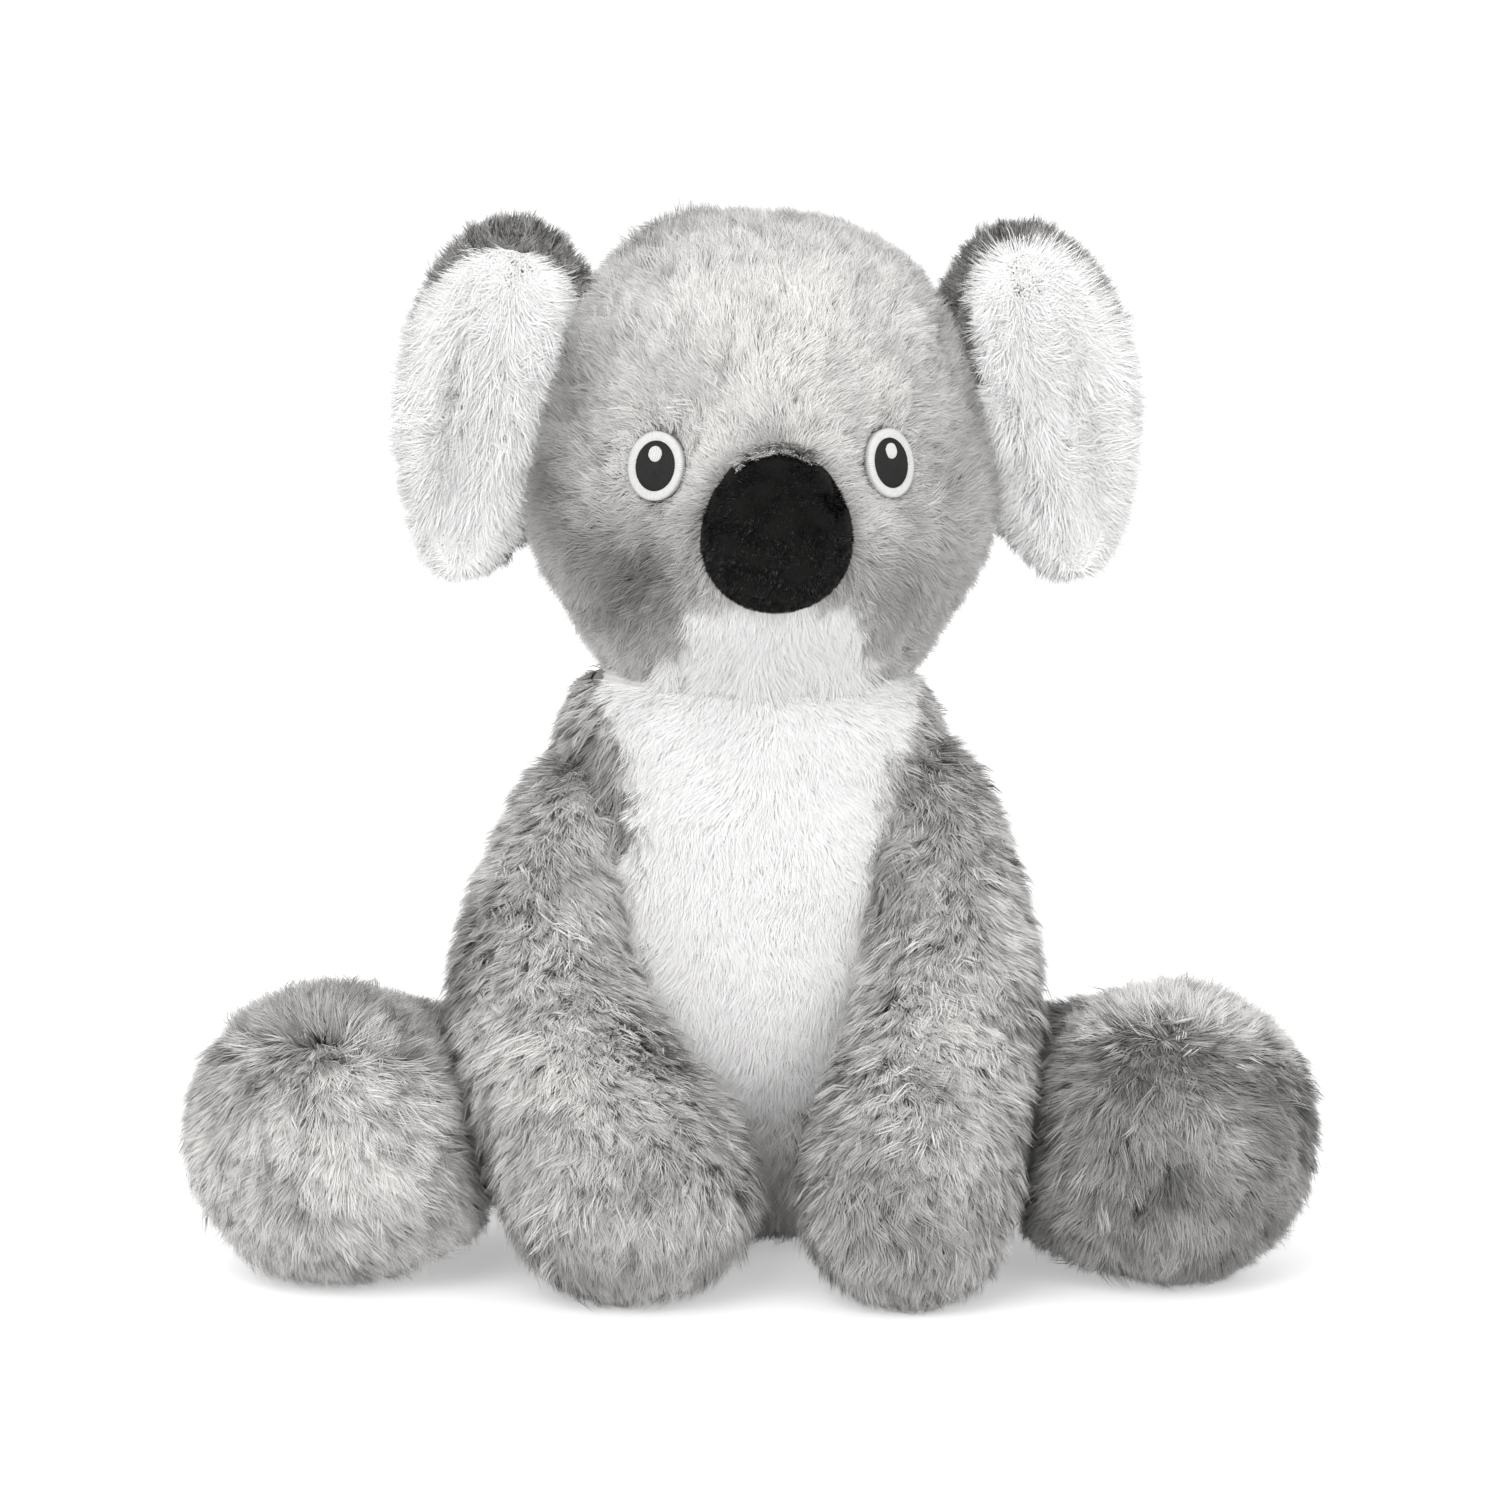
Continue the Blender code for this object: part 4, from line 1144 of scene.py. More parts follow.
@dataclass(frozen=True)
class Dresser:
    """Turns finished meshes into the pieces of one body. On one of a pair, every name ends with its side."""

    materials: dict[Cloth, bpy.types.Material]
    body: str
    side: Side | None = None

    def on(self, body: str, side: Side | None = None) -> "Dresser":
        """The dresser of another body."""
        return Dresser(self.materials, f"{body}_{side.label}" if side else body, side)

    def piece(
        self, name: str, mesh: bpy.types.Mesh, cloth: Cloth, stands_for: str = "", fill: float | None = None
    ) -> bpy.types.Object:
        """Adds one piece, sets it on its body, and hides the solid that it stands for.

        Args:
            name: the piece's name, without a side.
            mesh: its mesh, already in its place.
            cloth: what it is made of.
            stands_for: the solid that it replaces, without a side.
            fill: how tightly it is stuffed, if it is padded; not used.

        Returns:
            The piece.
        """
        ending = f"_{self.side.label}" if self.side else ""
        mesh.name = name + ending
        mesh.materials.append(self.materials[cloth])
        made = bpy.data.objects.new(name + ending, mesh)
        bpy.context.scene.collection.objects.link(made)
        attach(made, self.body)
        if stands_for:
            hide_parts(stands_for + ending)
        log.info("%s: %d triangles on %s", made.name, triangle_count(made), self.body)
        return made

    def skin(
        self,
        name: str,
        form: Surface,
        cloth: Cloth,
        inset: float,
        steps: tuple[int, int],
        fill: float,
        stands_for: str = "",
        panel: Callable[[Array], Array] | None = None,
    ) -> None:
        """Adds a sewn skin or a filling, or one open panel that has the thickness of its cloth.

        Args:
            name: the piece's name, without a side.
            form: the form that the pile fills out to.
            cloth: what it is made of.
            inset: how far inside the form it lies.
            steps: its steps from pole to pole and round about.
            fill: how tightly it is stuffed.
            stands_for: the solid that it replaces, without a side.
            panel: which places are on the panel, if it is one.
        """
        made = self.piece(name, skin_mesh(form, inset, *steps, panel), cloth, stands_for, fill)
        if panel is not None:
            wall = made.modifiers.new("cloth", "SOLIDIFY")
            wall.thickness = PANEL_WALL
            wall.offset = -1

    def fur(
        self,
        name: str,
        form: Surface,
        cloth: Cloth,
        coat: Coat,
        layers: tuple[Pile, ...],
        seed: int,
        fill: float | None = None,
        stands_for: str = "",
        cells: int = WIDE_MAP,
    ) -> None:
        """Grows the fur of one region.

        Args:
            name: the piece's name, without a side.
            form: the form that the fur fills out to.
            cloth: what it is made of.
            coat: comb, shade, trim and region.
            layers: the layers of pile.
            seed: the seed of all chance, to which a pair's member adds its sign.
            fill: how tightly it is stuffed, if it is padded.
            stands_for: the solid that it replaces, without a side.
            cells: how many strands lie across the bake map.
        """
        own_seed = seed + (self.side.value if self.side else 0)
        self.piece(name, pile_mesh(form, coat, layers, own_seed, cells), cloth, stands_for, fill)


# ---------------------------------------------------------------- the toy's sub-assemblies


# The torso's spots, all painted light: lighter between the paws and at the neck under the head, where shade falls,
# and on the back, which the lamps don't reach; the two dark ones are painted shade on the toy's right shoulder under
# the head.
TORSO_PAINTED_LIGHT_SPOTS = (
    Spot((0.004, -0.015, 0.026), 0.034, 2.3),
    Spot((0.0, 0.09, 0.10), 0.06, 1.45),
    Spot((-0.048, 0.004, 0.162), 0.014, 1.75),
    Spot((0.052, 0.006, 0.166), 0.015, 1.4),
    Spot((-0.047, 0.002, 0.141), 0.009, 0.22),
    Spot((-0.035, -0.010, 0.132), 0.010, 0.25),
)


@dataclass(frozen=True)
class Torso:
    """The pear-shaped body with its white bib."""

    dresser: Dresser
    height: float = 0.180
    width: float = 0.134
    depth: float = 0.104
    seat_back: float = 0.035
    lean: float = 0.011
    neck_z: float = 0.172
    neck_drop: float = 0.012
    inset: float = 0.0048
    bib_inset: float = 0.0042
    bib_bottom: float = 0.043
    bib_top_width: float = 0.086
    bib_shift: float = 0.003
    shares: tuple = (
        (1.000, 0.00),
        (0.965, 0.500),
        (0.905, 0.755),
        (0.800, 0.830),
        (0.630, 0.885),
        (0.460, 0.960),
        (0.300, 1.000),
        (0.150, 0.950),
        (0.040, 0.740),
        (0.000, 0.400),
        (0.000, 0.000),
    )
    bib_shares: tuple = ((0.00, 0.00), (0.52, 0.10), (0.80, 0.38), (0.92, 0.70), (1.00, 1.00), (1.04, 1.35))

    def form(self) -> RingForm:
        """The torso's form: ellipses (width / 2 x girth, depth / 2 x girth) at the heights of its table.

        Returns:
            The form, in the world.
        """
        share, girth = np.array(self.shares).T
        middles = vectors_of(0, self.seat_back - self.lean * share, self.height * share)
        across, along = vectors_of(self.width / 2 * girth, 0, 0), vectors_of(0, self.depth / 2 * girth, 0)
        return RingForm(middles, across, along, UPRIGHT).dropped(SEAT_LEVEL)

    def on_bib(self, points: Array, margin: float = 0.0) -> Array:
        """Which places are on the bib: in front, and within its half width at their height.

        Args:
            points: places in the world, one to a row.
            margin: how far beyond its seam it reaches.

        Returns:
            True for each that is.
        """
        tall = self.neck_z - self.neck_drop - self.bib_bottom
        half, height = np.array(self.bib_shares).T
        width = np.interp(points[:, 2], self.bib_bottom + tall * height, self.bib_top_width / 2 * half, left=0)
        return (np.abs(points[:, 0] - self.bib_shift) < width + margin) & (points[:, 1] < self.seat_back - self.lean)

    def dress(self) -> RingForm:
        """Adds the torso's skin and pile, the bib's skin and pile, and the filling.

        Returns:
            The torso's form.
        """
        form, dresser, fill = self.form(), self.dresser.on("torso"), 0.85
        dresser.skin("torso_skin", form, Cloth.GREY_SKIN, self.inset + SKIN_UNDER, (72, 84), fill=fill)
        dresser.skin("bib_skin", form, Cloth.WHITE_SKIN, self.bib_inset, (90, 110), fill, panel=self.on_bib)
        under_head = self.neck_z - self.neck_drop - 0.004

        def overhang(points: Array) -> Array:
            """How far the grey fur lies over the bib: most by the shoulders, with waves 1.5 mm high."""
            shoulder = bell(points[:, 2] - 0.134, 0.018)
            return shoulder * (0.0065 + 0.0015 * waves(points, 0.008, 13))

        def grey_region(points: Array) -> Array:
            """The grey part of the torso that the head doesn't cover."""
            return ~self.on_bib(points, -0.001 - overhang(points)) & (points[:, 2] < under_head + 0.006)

        def neck_trim(points: Array) -> Array:
            """The fur is shorter towards the neck, where the head lies on it."""
            return 1 - 0.55 * rise(points[:, 2], 0.148, 0.162)

        grey = Coat(
            Comb((0.0, 0.1, -1.0), source=(0.0, 0.02, 0.17), spread=0.35),
            Tone(0.62, TORSO_PAINTED_LIGHT_SPOTS),
            neck_trim,
            grey_region,
        )
        layers = body_layers(self.inset, 3.0e6)
        dresser.fur("torso_pile", form, Cloth.GREY_PILE, grey, layers, seed=11, fill=fill, stands_for="torso_shell")

        def bib_region(points: Array) -> Array:
            """The bib below the head."""
            return self.on_bib(points, 0.0015 - overhang(points)) & (points[:, 2] < under_head + 0.008)

        white = Coat(
            Comb(source=(self.bib_shift, -0.02, 0.17), spread=0.4),
            Tone(0.975, (Spot((0.003, -0.015, 0.046), 0.014, 0.80),)),
            keep=bib_region,
        )
        layers = short_layers(self.bib_inset, 9.0e6)
        dresser.fur("bib_pile", form, Cloth.WHITE_PILE, white, layers, seed=12, fill=fill, stands_for="belly_panel")
        depth = self.inset + FILLING_UNDER
        dresser.skin("torso_filling", form, Cloth.FILLING, depth, (30, 36), fill=0.8, stands_for="torso_stuffing")
        return form


@dataclass(frozen=True)
class Nose:
    """The padded velour nose, in the frame of the head."""

    width: float = 0.0405
    height: float = 0.0450
    bulge: float = 0.0240
    lift: float = 0.0408
    seat_inset: float = 0.0050
    low_weight: float = 0.12
    shares: tuple = (
        (1.00, 0.00),
        (0.95, 0.42),
        (0.72, 0.82),
        (0.36, 1.02),
        (0.06, 1.02),
        (0.00, 0.80),
        (0.00, 0.00),
    )

    def form(self, seat: float, place: Matrix) -> RingForm:
        """The nose's form: upright ellipses from its tip back to its seat, broader low down.

        Args:
            seat: how far back the seat lies in the head's frame.
            place: the head's frame.

        Returns:
            The form, in the world.
        """
        ahead, wide = np.array(self.shares).T
        middles = vectors_of(0, seat - self.bulge * ahead, self.lift)
        across, along = vectors_of(self.width / 2 * wide, 0, 0), vectors_of(0, 0, self.height / 2 * wide)
        line = turned(np.array([0, 1.0, 0]), place)
        return PearForm(moved(middles, place), turned(across, place), turned(along, place), line, self.low_weight)


class PearForm(RingForm):
    """A ring form that is broader low down: its first half axis is multiplied by 1 - weight sin(2 pi v)."""

    def __init__(self, middles: Array, across: Array, along: Array, line: Array, weight: float) -> None:
        """Lays the rings out, with the share that they widen by at the lowest point."""
        self.weight = weight
        super().__init__(middles, across, along, line)

    def point(self, u: Array, v: Array) -> Array:
        """Points of the form.

        Args:
            u: from pole to pole, 0 to 1.
            v: round about, 0 to 1.

        Returns:
            The points, one to a row.
        """
        middle, across, along = self.frames(u)
        angle = (2 * math.pi * v)[:, None]
        widened = np.cos(angle) * (1 - self.weight * np.sin(angle))
        return middle + widened * across + np.sin(angle) * along


@dataclass(frozen=True)
class StitchedEye:
    """One embroidered eye: a satin ring, a filled pupil and a glint."""

    side: Side
    width: float
    height: float = 0.0190
    pupil_width_share: float = 0.72
    pupil_height_share: float = 0.73
    pupil_sideways: float = 0.0004
    glint_width_share: float = 0.24
    glint_height_share: float = 0.23
    glint_rise_share: float = 0.17
    thread: float = 0.0005
    ridge_height: float = 0.00011
    skirt: float = 0.0030

    def patch(self, place: Matrix, half: tuple[float, float], low: float, crown: float, fans: bool) -> bpy.types.Mesh:
        """An oval pad of thread rows.

        A point is (a r cos t, b r sin t, low + crown x (1 - r^4)^(1/2) + ridge), where r runs from 0 in the
        middle to 1 at the rim. The ridges are ridge height x cos(n t), which fan out from the middle, or else
        x cos(2 pi (x + y / 4) / thread), which lie side by side.

        Args:
            place: the pad's frame, whose Z faces out of the head.
            half: its two half axes.
            low: the height of its rim over the frame.
            crown: how much higher its middle is.
            fans: whether the rows fan out.

        Returns:
            The mesh, with `ridge` on its points.
        """
        rows, columns = (14, 444) if fans else (40, 240)
        share, turn = np.meshgrid(np.linspace(0, 1, rows + 1)[1:], np.arange(columns) / columns, indexing="ij")
        share, turn = share.ravel(), turn.ravel() * 2 * math.pi
        x, y = half[0] * share * np.cos(turn), half[1] * share * np.sin(turn)
        count = round(2 * math.pi * sum(half) / 2 / self.thread)
        ridge = np.cos(count * turn) if fans else np.cos(2 * math.pi * (x + 0.25 * y) / self.thread)
        wave = self.ridge_height * ridge * np.clip(share * 3, 0, 1)
        z = low + crown * np.sqrt(np.clip(1 - share**4, 0, 1)) + wave
        foot = low - self.skirt
        hem = vectors_of(x[-columns:] * 0.98, y[-columns:] * 0.98, foot)
        points = np.concatenate([vectors_of(x, y, z), hem, [[0, 0, low + crown], [0, 0, foot]]])
        quads = grid_faces(rows + 1, columns)
        caps = fan(len(points) - 2, 0, columns, False), fan(len(points) - 1, rows * columns, columns, True)
        mesh = mesh_from(moved(points, place), quads[:, ::-1], np.concatenate(caps))
        # `ridge` is low in the grooves, where the thread finish paints shade.
        set_numbers(mesh, "ridge", np.concatenate([ridge * 0.5 + 0.5, np.zeros(columns), np.ones(2)]))
        return mesh

    def dress(self, dresser: Dresser, place: Matrix) -> None:
        """Adds the eye's three patches of thread, one above the other.

        Args:
            dresser: adds the head's pieces.
            place: the eye's frame on the head.
        """
        inward = place @ Matrix.Translation((-self.side.value * self.pupil_sideways, 0, 0))
        raised = inward @ Matrix.Translation((0, self.height * self.glint_rise_share, 0))
        pupil = (self.pupil_width_share, self.pupil_height_share)
        glint = (self.glint_width_share, self.glint_height_share)
        for kind, cloth, spot, shares, low, crown, fans in (
            ("eye_white", Cloth.WHITE_THREAD, place, (1, 1), -0.0012, 0.0006, True),
            ("pupil", Cloth.BLACK_THREAD, inward, pupil, -0.0006, 0.0007, False),
            ("glint", Cloth.WHITE_THREAD, raised, glint, 0.0001, 0.0005, False),
        ):
            half = (self.width / 2 * shares[0], self.height / 2 * shares[1])
            name = f"{kind}_{self.side.label}"
            dresser.piece(f"{name}_stitches", self.patch(spot, half, low, crown, fans), cloth, name)


# The face's spots: lighter and darker patches of fur, and painted shade on the head beside the ears.
FACE_SPOTS_AND_EAR_SHADE = (
    Spot((-0.035, -0.048, 0.028), 0.014, 0.26),
    Spot((-0.027, -0.054, 0.014), 0.010, 0.45),
    Spot((-0.044, -0.040, 0.012), 0.010, 0.66),
    Spot((0.036, -0.050, 0.022), 0.015, 0.56),
    # These three, and the three after the crown's, are painted shade on the head beside the ears.
    Spot((-0.057, -0.026, 0.070), 0.015, 0.34),
    Spot((-0.059, -0.020, 0.046), 0.014, 0.42),
    Spot((0.060, -0.016, 0.078), 0.013, 0.50),
    Spot((-0.026, 0.012, 0.114), 0.012, 0.35),
    Spot((-0.060, -0.008, 0.078), 0.014, 0.58),
    Spot((0.061, -0.008, 0.062), 0.012, 0.62),
    Spot((0.060, -0.012, 0.040), 0.010, 0.70),
    Spot((-0.050, -0.034, 0.020), 0.015, 0.66),
    Spot((-0.037, -0.045, 0.003), 0.013, 0.66),
    Spot((0.042, -0.040, 0.006), 0.014, 0.72),
    Spot((-0.012, -0.054, 0.092), 0.010, 0.86),
    Spot((0.018, -0.052, 0.094), 0.009, 0.88),
    Spot((-0.026, -0.050, 0.098), 0.009, 0.88),
    Spot((0.000, -0.055, 0.068), 0.014, 1.22),
    Spot((-0.044, -0.045, 0.057), 0.012, 1.42),
    Spot((-0.034, -0.052, 0.043), 0.007, 0.80),
    Spot((-0.044, -0.045, 0.084), 0.010, 0.86),
    Spot((0.033, -0.050, 0.082), 0.010, 0.64),
    Spot((0.050, -0.040, 0.060), 0.012, 0.86),
    Spot((-0.004, -0.058, 0.078), 0.010, 0.84),
    Spot((0.010, -0.050, 0.104), 0.009, 0.88),
    Spot((-0.028, -0.060, 0.050), 0.009, 1.10),
    Spot((0.004, -0.045, 0.100), 0.030, 1.08),
)


@dataclass(frozen=True)
class Head:
    """The head with its chin panel, nose and eyes."""

    dresser: Dresser
    neck: Place = (0.003, 0.023, 0.172)
    turn: float = math.radians(4)
    height: float = 0.1405
    sink: float = 0.022
    width: float = 0.131
    depth: float = 0.120
    back: float = 0.001
    inset: float = 0.0042
    chin_inset: float = 0.0042
    chin_top: float = 0.0250
    chin_top_width: float = 0.040
    chin_foot_width: float = 0.0705
    eye_out: float = 0.0329
    eye_lift: float = 0.0566
    eye_height: float = 0.0190
    shares: tuple = (
        (1.000, 0.00, 0.00, 0.00),
        (0.975, 0.36, 0.34, 0.40),
        (0.905, 0.63, 0.62, 0.66),
        (0.810, 0.775, 0.79, 0.82),
        (0.690, 0.875, 0.89, 0.93),
        (0.555, 0.960, 0.97, 0.99),
        (0.420, 1.000, 1.03, 1.00),
        (0.310, 0.930, 1.01, 0.97),
        (0.215, 0.790, 0.87, 0.88),
        (0.130, 0.710, 0.68, 0.75),
        (0.040, 0.560, 0.50, 0.58),
        (0.000, 0.00, 0.00, 0.00),
    )

    @property
    def place(self) -> Matrix:
        """The head's frame: the neck's crown, turned a little to the toy's left."""
        return Matrix.Translation(self.neck) @ Matrix.Rotation(self.turn, 4, "Z")

    def tables(self) -> tuple[Array, Array, Array, Array]:
        """Height, middle's y, half width and half depth of each ring, in the head's frame.

        Returns:
            The four columns, crown first.
        """
        share, wide, front, back = np.array(self.shares).T
        ahead, behind = self.depth / 2 * front, self.depth / 2 * back
        height = self.height * share - self.sink
        return height, self.back + (behind - ahead) / 2, self.width / 2 * wide, (ahead + behind) / 2

    def form(self) -> RingForm:
        """The head's form, in the world.

        Returns:
            The form.
        """
        height, middle, half_width, half_depth = self.tables()
        middles = moved(vectors_of(0, middle, height), self.place)
        across, along = vectors_of(half_width, 0, 0), vectors_of(0, half_depth, 0)
        return RingForm(middles, turned(across, self.place), turned(along, self.place), UPRIGHT)

    def local(self, points: Array) -> Array:
        """World points in the head's frame."""
        return moved(points, self.place.inverted())

    def front_at(self, x: float, z: float) -> float:
        """How far back the face lies at a place: middle - half depth x root(1 - (x / half width)^2).

        Args:
            x: the place's own, in the head's frame.
            z: its height there.

        Returns:
            The y of the face there, in the head's frame.
        """
        height, middle, half_width, half_depth = (column[::-1] for column in self.tables())
        inside = max(0.0, 1 - (x / np.interp(z, height, half_width)) ** 2)
        return float(np.interp(z, height, middle) - np.interp(z, height, half_depth) * math.sqrt(inside))

    def eye_place(self, side: Side) -> Matrix:
        """An eye's frame in the world: its Z faces out of the face.

        Args:
            side: the eye's side.

        Returns:
            The frame.
        """
        x, z, step = side.value * self.eye_out, self.eye_lift, self.eye_height / 2
        slope_x = (self.front_at(x + step, z) - self.front_at(x - step, z)) / (2 * step)
        slope_z = (self.front_at(x, z + step) - self.front_at(x, z - step)) / (2 * step)
        outward = Vector((slope_x, -1, slope_z)).normalized()
        facing = outward.to_track_quat("Z", "Y").to_matrix().to_4x4()
        return self.place @ Matrix.Translation((x, self.front_at(x, z), z)) @ facing

    def on_chin(self, points: Array, margin: float = 0.0) -> Array:
        """Which places are on the white chin: in front, low, and within its width at their height.

        Args:
            points: places in the world, one to a row.
            margin: how far beyond its seam it reaches.

        Returns:
            True for each that is.
        """
        spots = self.local(points)
        foot, top = self.chin_foot_width / 2, self.chin_top_width / 2
        half = np.interp(spots[:, 2], [0.0, self.chin_top], [foot, top])
        low = spots[:, 2] < self.chin_top + margin
        return low & (np.abs(spots[:, 0]) < half + margin) & (spots[:, 1] < 0)

    def eye_shares(self, points: Array) -> Array:
        """How far each place is from the nearer eye's middle, in half axes of that eye.

        Args:
            points: places in the world, one to a row.

        Returns:
            The shares: 1 on an eye's rim, and 9 behind the face.
        """
        shares = []
        for side in Side:
            spots = moved(points, self.eye_place(side).inverted())
            shares.append(np.hypot(spots[:, 0] / (EYES[side].width / 2), spots[:, 1] / (self.eye_height / 2)))
        front = self.local(points)[:, 1] < 0
        return np.where(front, np.minimum(*shares), 9.0)

    def trim(self, points: Array) -> Array:
        """How long the fur is kept: shorter on the brow and about the eyes, longer on the cheeks.

        Args:
            points: places in the world, one to a row.

        Returns:
            What the fur's length is multiplied by.
        """
        spots = self.local(points)
        front = rise(-spots[:, 1], 0.0, 0.035)
        brow = front * rise(spots[:, 2], 0.035, 0.075)
        cheeks = rise(np.abs(spots[:, 0]), 0.02, 0.055) * (1 - rise(spots[:, 2], 0.02, 0.055))
        eyes = bell(np.maximum(self.eye_shares(points) - 1, 0), 0.75)
        crown = near(spots, np.array([-0.026, 0.012, 0.114]), 0.013)
        return (0.95 - 0.22 * brow + 0.25 * cheeks + 0.80 * crown) * (1 - 0.58 * eyes)

    def comb(self, points: Array, outward: Array) -> Array:
        """The way the fur lies: away from the nose in front, down behind, and away from a near eye.

        Args:
            points: places in the world, one to a row.
            outward: the outward direction at each place.

        Returns:
            A way for each place.
        """
        spots = self.local(points)
        way = unit(spots - np.array([0.0, -0.058, 0.046]))
        behind = rise(spots[:, 1], -0.01, 0.04)[:, None]
        way = way * (1 - behind) + np.array([0, 0.2, -1.0]) * behind
        way = way + np.array([0, 0, -0.45]) * (1 - rise(spots[:, 2], 0.0, 0.05))[:, None]
        way = way + np.array([0, -0.3, -2.6]) * near(spots, np.array([0.0, -0.064, 0.068]), 0.010)[:, None]
        for side in Side:
            middle = np.array(self.place.inverted() @ self.eye_place(side).translation)
            way = way + unit(spots - middle) * (1.6 * near(spots, middle, 0.012))[:, None]
        return turned(way, self.place)

    def shade(self, points: Array) -> Array:
        """How light the fur is: painted light on the crown and brow, painted shade on the sides and low on the face,
        a little darker behind, and spots, dark under one cheek.

        Args:
            points: places in the world, one to a row.

        Returns:
            The lightness of each place.
        """
        spots = self.local(points)
        front = rise(-spots[:, 1], -0.01, 0.04)
        high = rise(spots[:, 2], 0.060, 0.112)
        sides = rise(np.abs(spots[:, 0]), 0.030, 0.062)
        low = 1 - rise(spots[:, 2], 0.015, 0.060)
        # Painted light: the crown and brow lighter and the sides and lower face darker, as light from above and in
        # front falls on them; the back a little darker.
        shade = 0.74 + 0.24 * high * front - 0.20 * sides * front - 0.10 * low * front - 0.08 * (1 - front)
        shade = shade * (1 + 0.07 * waves(spots, 0.016, 5) + 0.04 * waves(spots, 0.007, 6))
        return spotted(shade, spots, FACE_SPOTS_AND_EAR_SHADE)

    def dress(self, torso: RingForm) -> RingForm:
        """Adds the head's skin, pile, chin, nose, eyes and filling.

        Args:
            torso: the torso's form, in which no fur starts.

        Returns:
            The head's form.
        """
        form, dresser, fill = self.form(), self.dresser.on("head"), 0.9
        nose = Nose()
        nose_form = nose.form(self.front_at(0, nose.lift) + nose.seat_inset, self.place)
        dresser.skin("head_skin", form, Cloth.GREY_SKIN, self.inset + SKIN_UNDER, (80, 96), fill=fill)
        dresser.skin("chin_skin", form, Cloth.WHITE_SKIN, self.chin_inset, (110, 120), fill, panel=self.on_chin)

        def bare(points: Array) -> Array:
            """Where nothing grows: inside the torso, under the nose and under the eyes."""
            under = (torso.depth(points) > 0.010) | (nose_form.depth(points) > 0.0015)
            return under | (self.eye_shares(points) < 1.0)

        def ragged(points: Array) -> Array:
            """How far beyond its seam the chin's white goes: it stops short of it, the most at its corners.

            Args:
                points: places in the world, one to a row.

            Returns:
                A length for each, less than zero inside the seam.
            """
            spots = self.local(points)
            foot = 0.0050 * (1 - rise(spots[:, 2], 0.005, 0.014))
            top = 0.0040 * rise(spots[:, 2], 0.014, 0.024) * rise(np.abs(spots[:, 0]), 0.010, 0.016)
            return 0.0012 * waves(points, 0.011, 25) + 0.0008 * waves(points, 0.004, 26) - 0.0015 - foot - top

        def grey_front(points: Array) -> Array:
            """The grey front half of the head."""
            on_chin = self.on_chin(points, ragged(points) - 0.001)
            return (self.local(points)[:, 1] < 0.0) & ~on_chin & ~bare(points)

        def grey_back(points: Array) -> Array:
            """The grey back half of the head."""
            return (self.local(points)[:, 1] >= 0.0) & ~self.on_chin(points) & ~bare(points)

        for name, region, density, seed in (
            ("face_pile", grey_front, 7.4e6, 21),
            ("head_back_pile", grey_back, 3.4e6, 22),
        ):
            coat = Coat(self.comb, self.shade, self.trim, region)
            layers = (
                Pile(
                    length=0.0082, density=density, inset=self.inset, width=0.00036, root_lean=52,
                    lock_radius=0.0017, lock_size=11, stray=0.4, fray=0.35, tone=0.07, mottle=0.08,
                ),
                Pile(
                    length=0.0096, density=density * 0.06, inset=self.inset, width=0.00032, bends=2,
                    root_lean=32, tip_lean=68, lock_radius=0.0020, lock_size=9, stray=0.5, lock_tone=0.10,
                    mottle=0.05,
                ),
            )
            dresser.fur(name, form, Cloth.GREY_PILE, coat, layers, seed=seed, fill=fill, stands_for="head_shell")

        def chin_region(points: Array) -> Array:
            """The white chin."""
            return self.on_chin(points, ragged(points) + 0.001) & ~bare(points)

        def throat_trim(points: Array) -> Array:
            """The chin's fur is longer where it hangs over the crease at the throat."""
            throat = 1 - rise(self.local(points)[:, 2], -0.006, 0.008)
            return 1 + throat * (0.8 + 0.5 * waves(points, 0.009, 29))

        comb = Comb(source=(0.003, -0.05, 0.21), spread=0.7)
        white = Coat(comb, Tone(0.965), throat_trim, chin_region)
        layers = short_layers(self.chin_inset, 9.0e6)
        dresser.fur("chin_pile", form, Cloth.WHITE_PILE, white, layers, seed=23, fill=fill, stands_for="chin_panel")
        self.dress_nose(dresser, nose_form)
        for side in Side:
            EYES[side].dress(dresser, self.eye_place(side))
        depth = self.inset + FILLING_UNDER
        dresser.skin("head_filling", form, Cloth.FILLING, depth, (30, 36), fill=0.85, stands_for="head_stuffing")
        return form

    def dress_nose(self, dresser: Dresser, form: RingForm) -> None:
        """Adds the nose's velour cover with its nap, the fringe over its top edge, and its wadding.

        Args:
            dresser: adds the head's pieces.
            form: the nose's form.
        """
        dresser.skin("nose_velour", form, Cloth.VELOUR, 0.0002, (80, 120), fill=0.95, stands_for="nose_cover")
        coat = Coat(Comb(), Tone(0.022), keep=lambda points: self.local(points)[:, 1] < -0.060)
        nap = Pile(
            length=0.0011, density=11.0e6, inset=0.0004, width=0.00022, lock_radius=0.0006, lock_size=4,
            lock_pull=0.2, stray=0.8, lock_tone=-0.85, tone=0.3, mottle=0.05,
        )
        dresser.fur("nose_nap", form, Cloth.VELOUR_PILE, coat, (nap,), seed=24, cells=SMALL_MAP)

        def top_edge(points: Array) -> Array:
            """The nose's top edge, with a ragged lower limit."""
            spots = self.local(points)
            return (spots[:, 2] > 0.0585 + 0.0008 * waves(points, 0.006, 27)) & (spots[:, 1] > -0.0665)

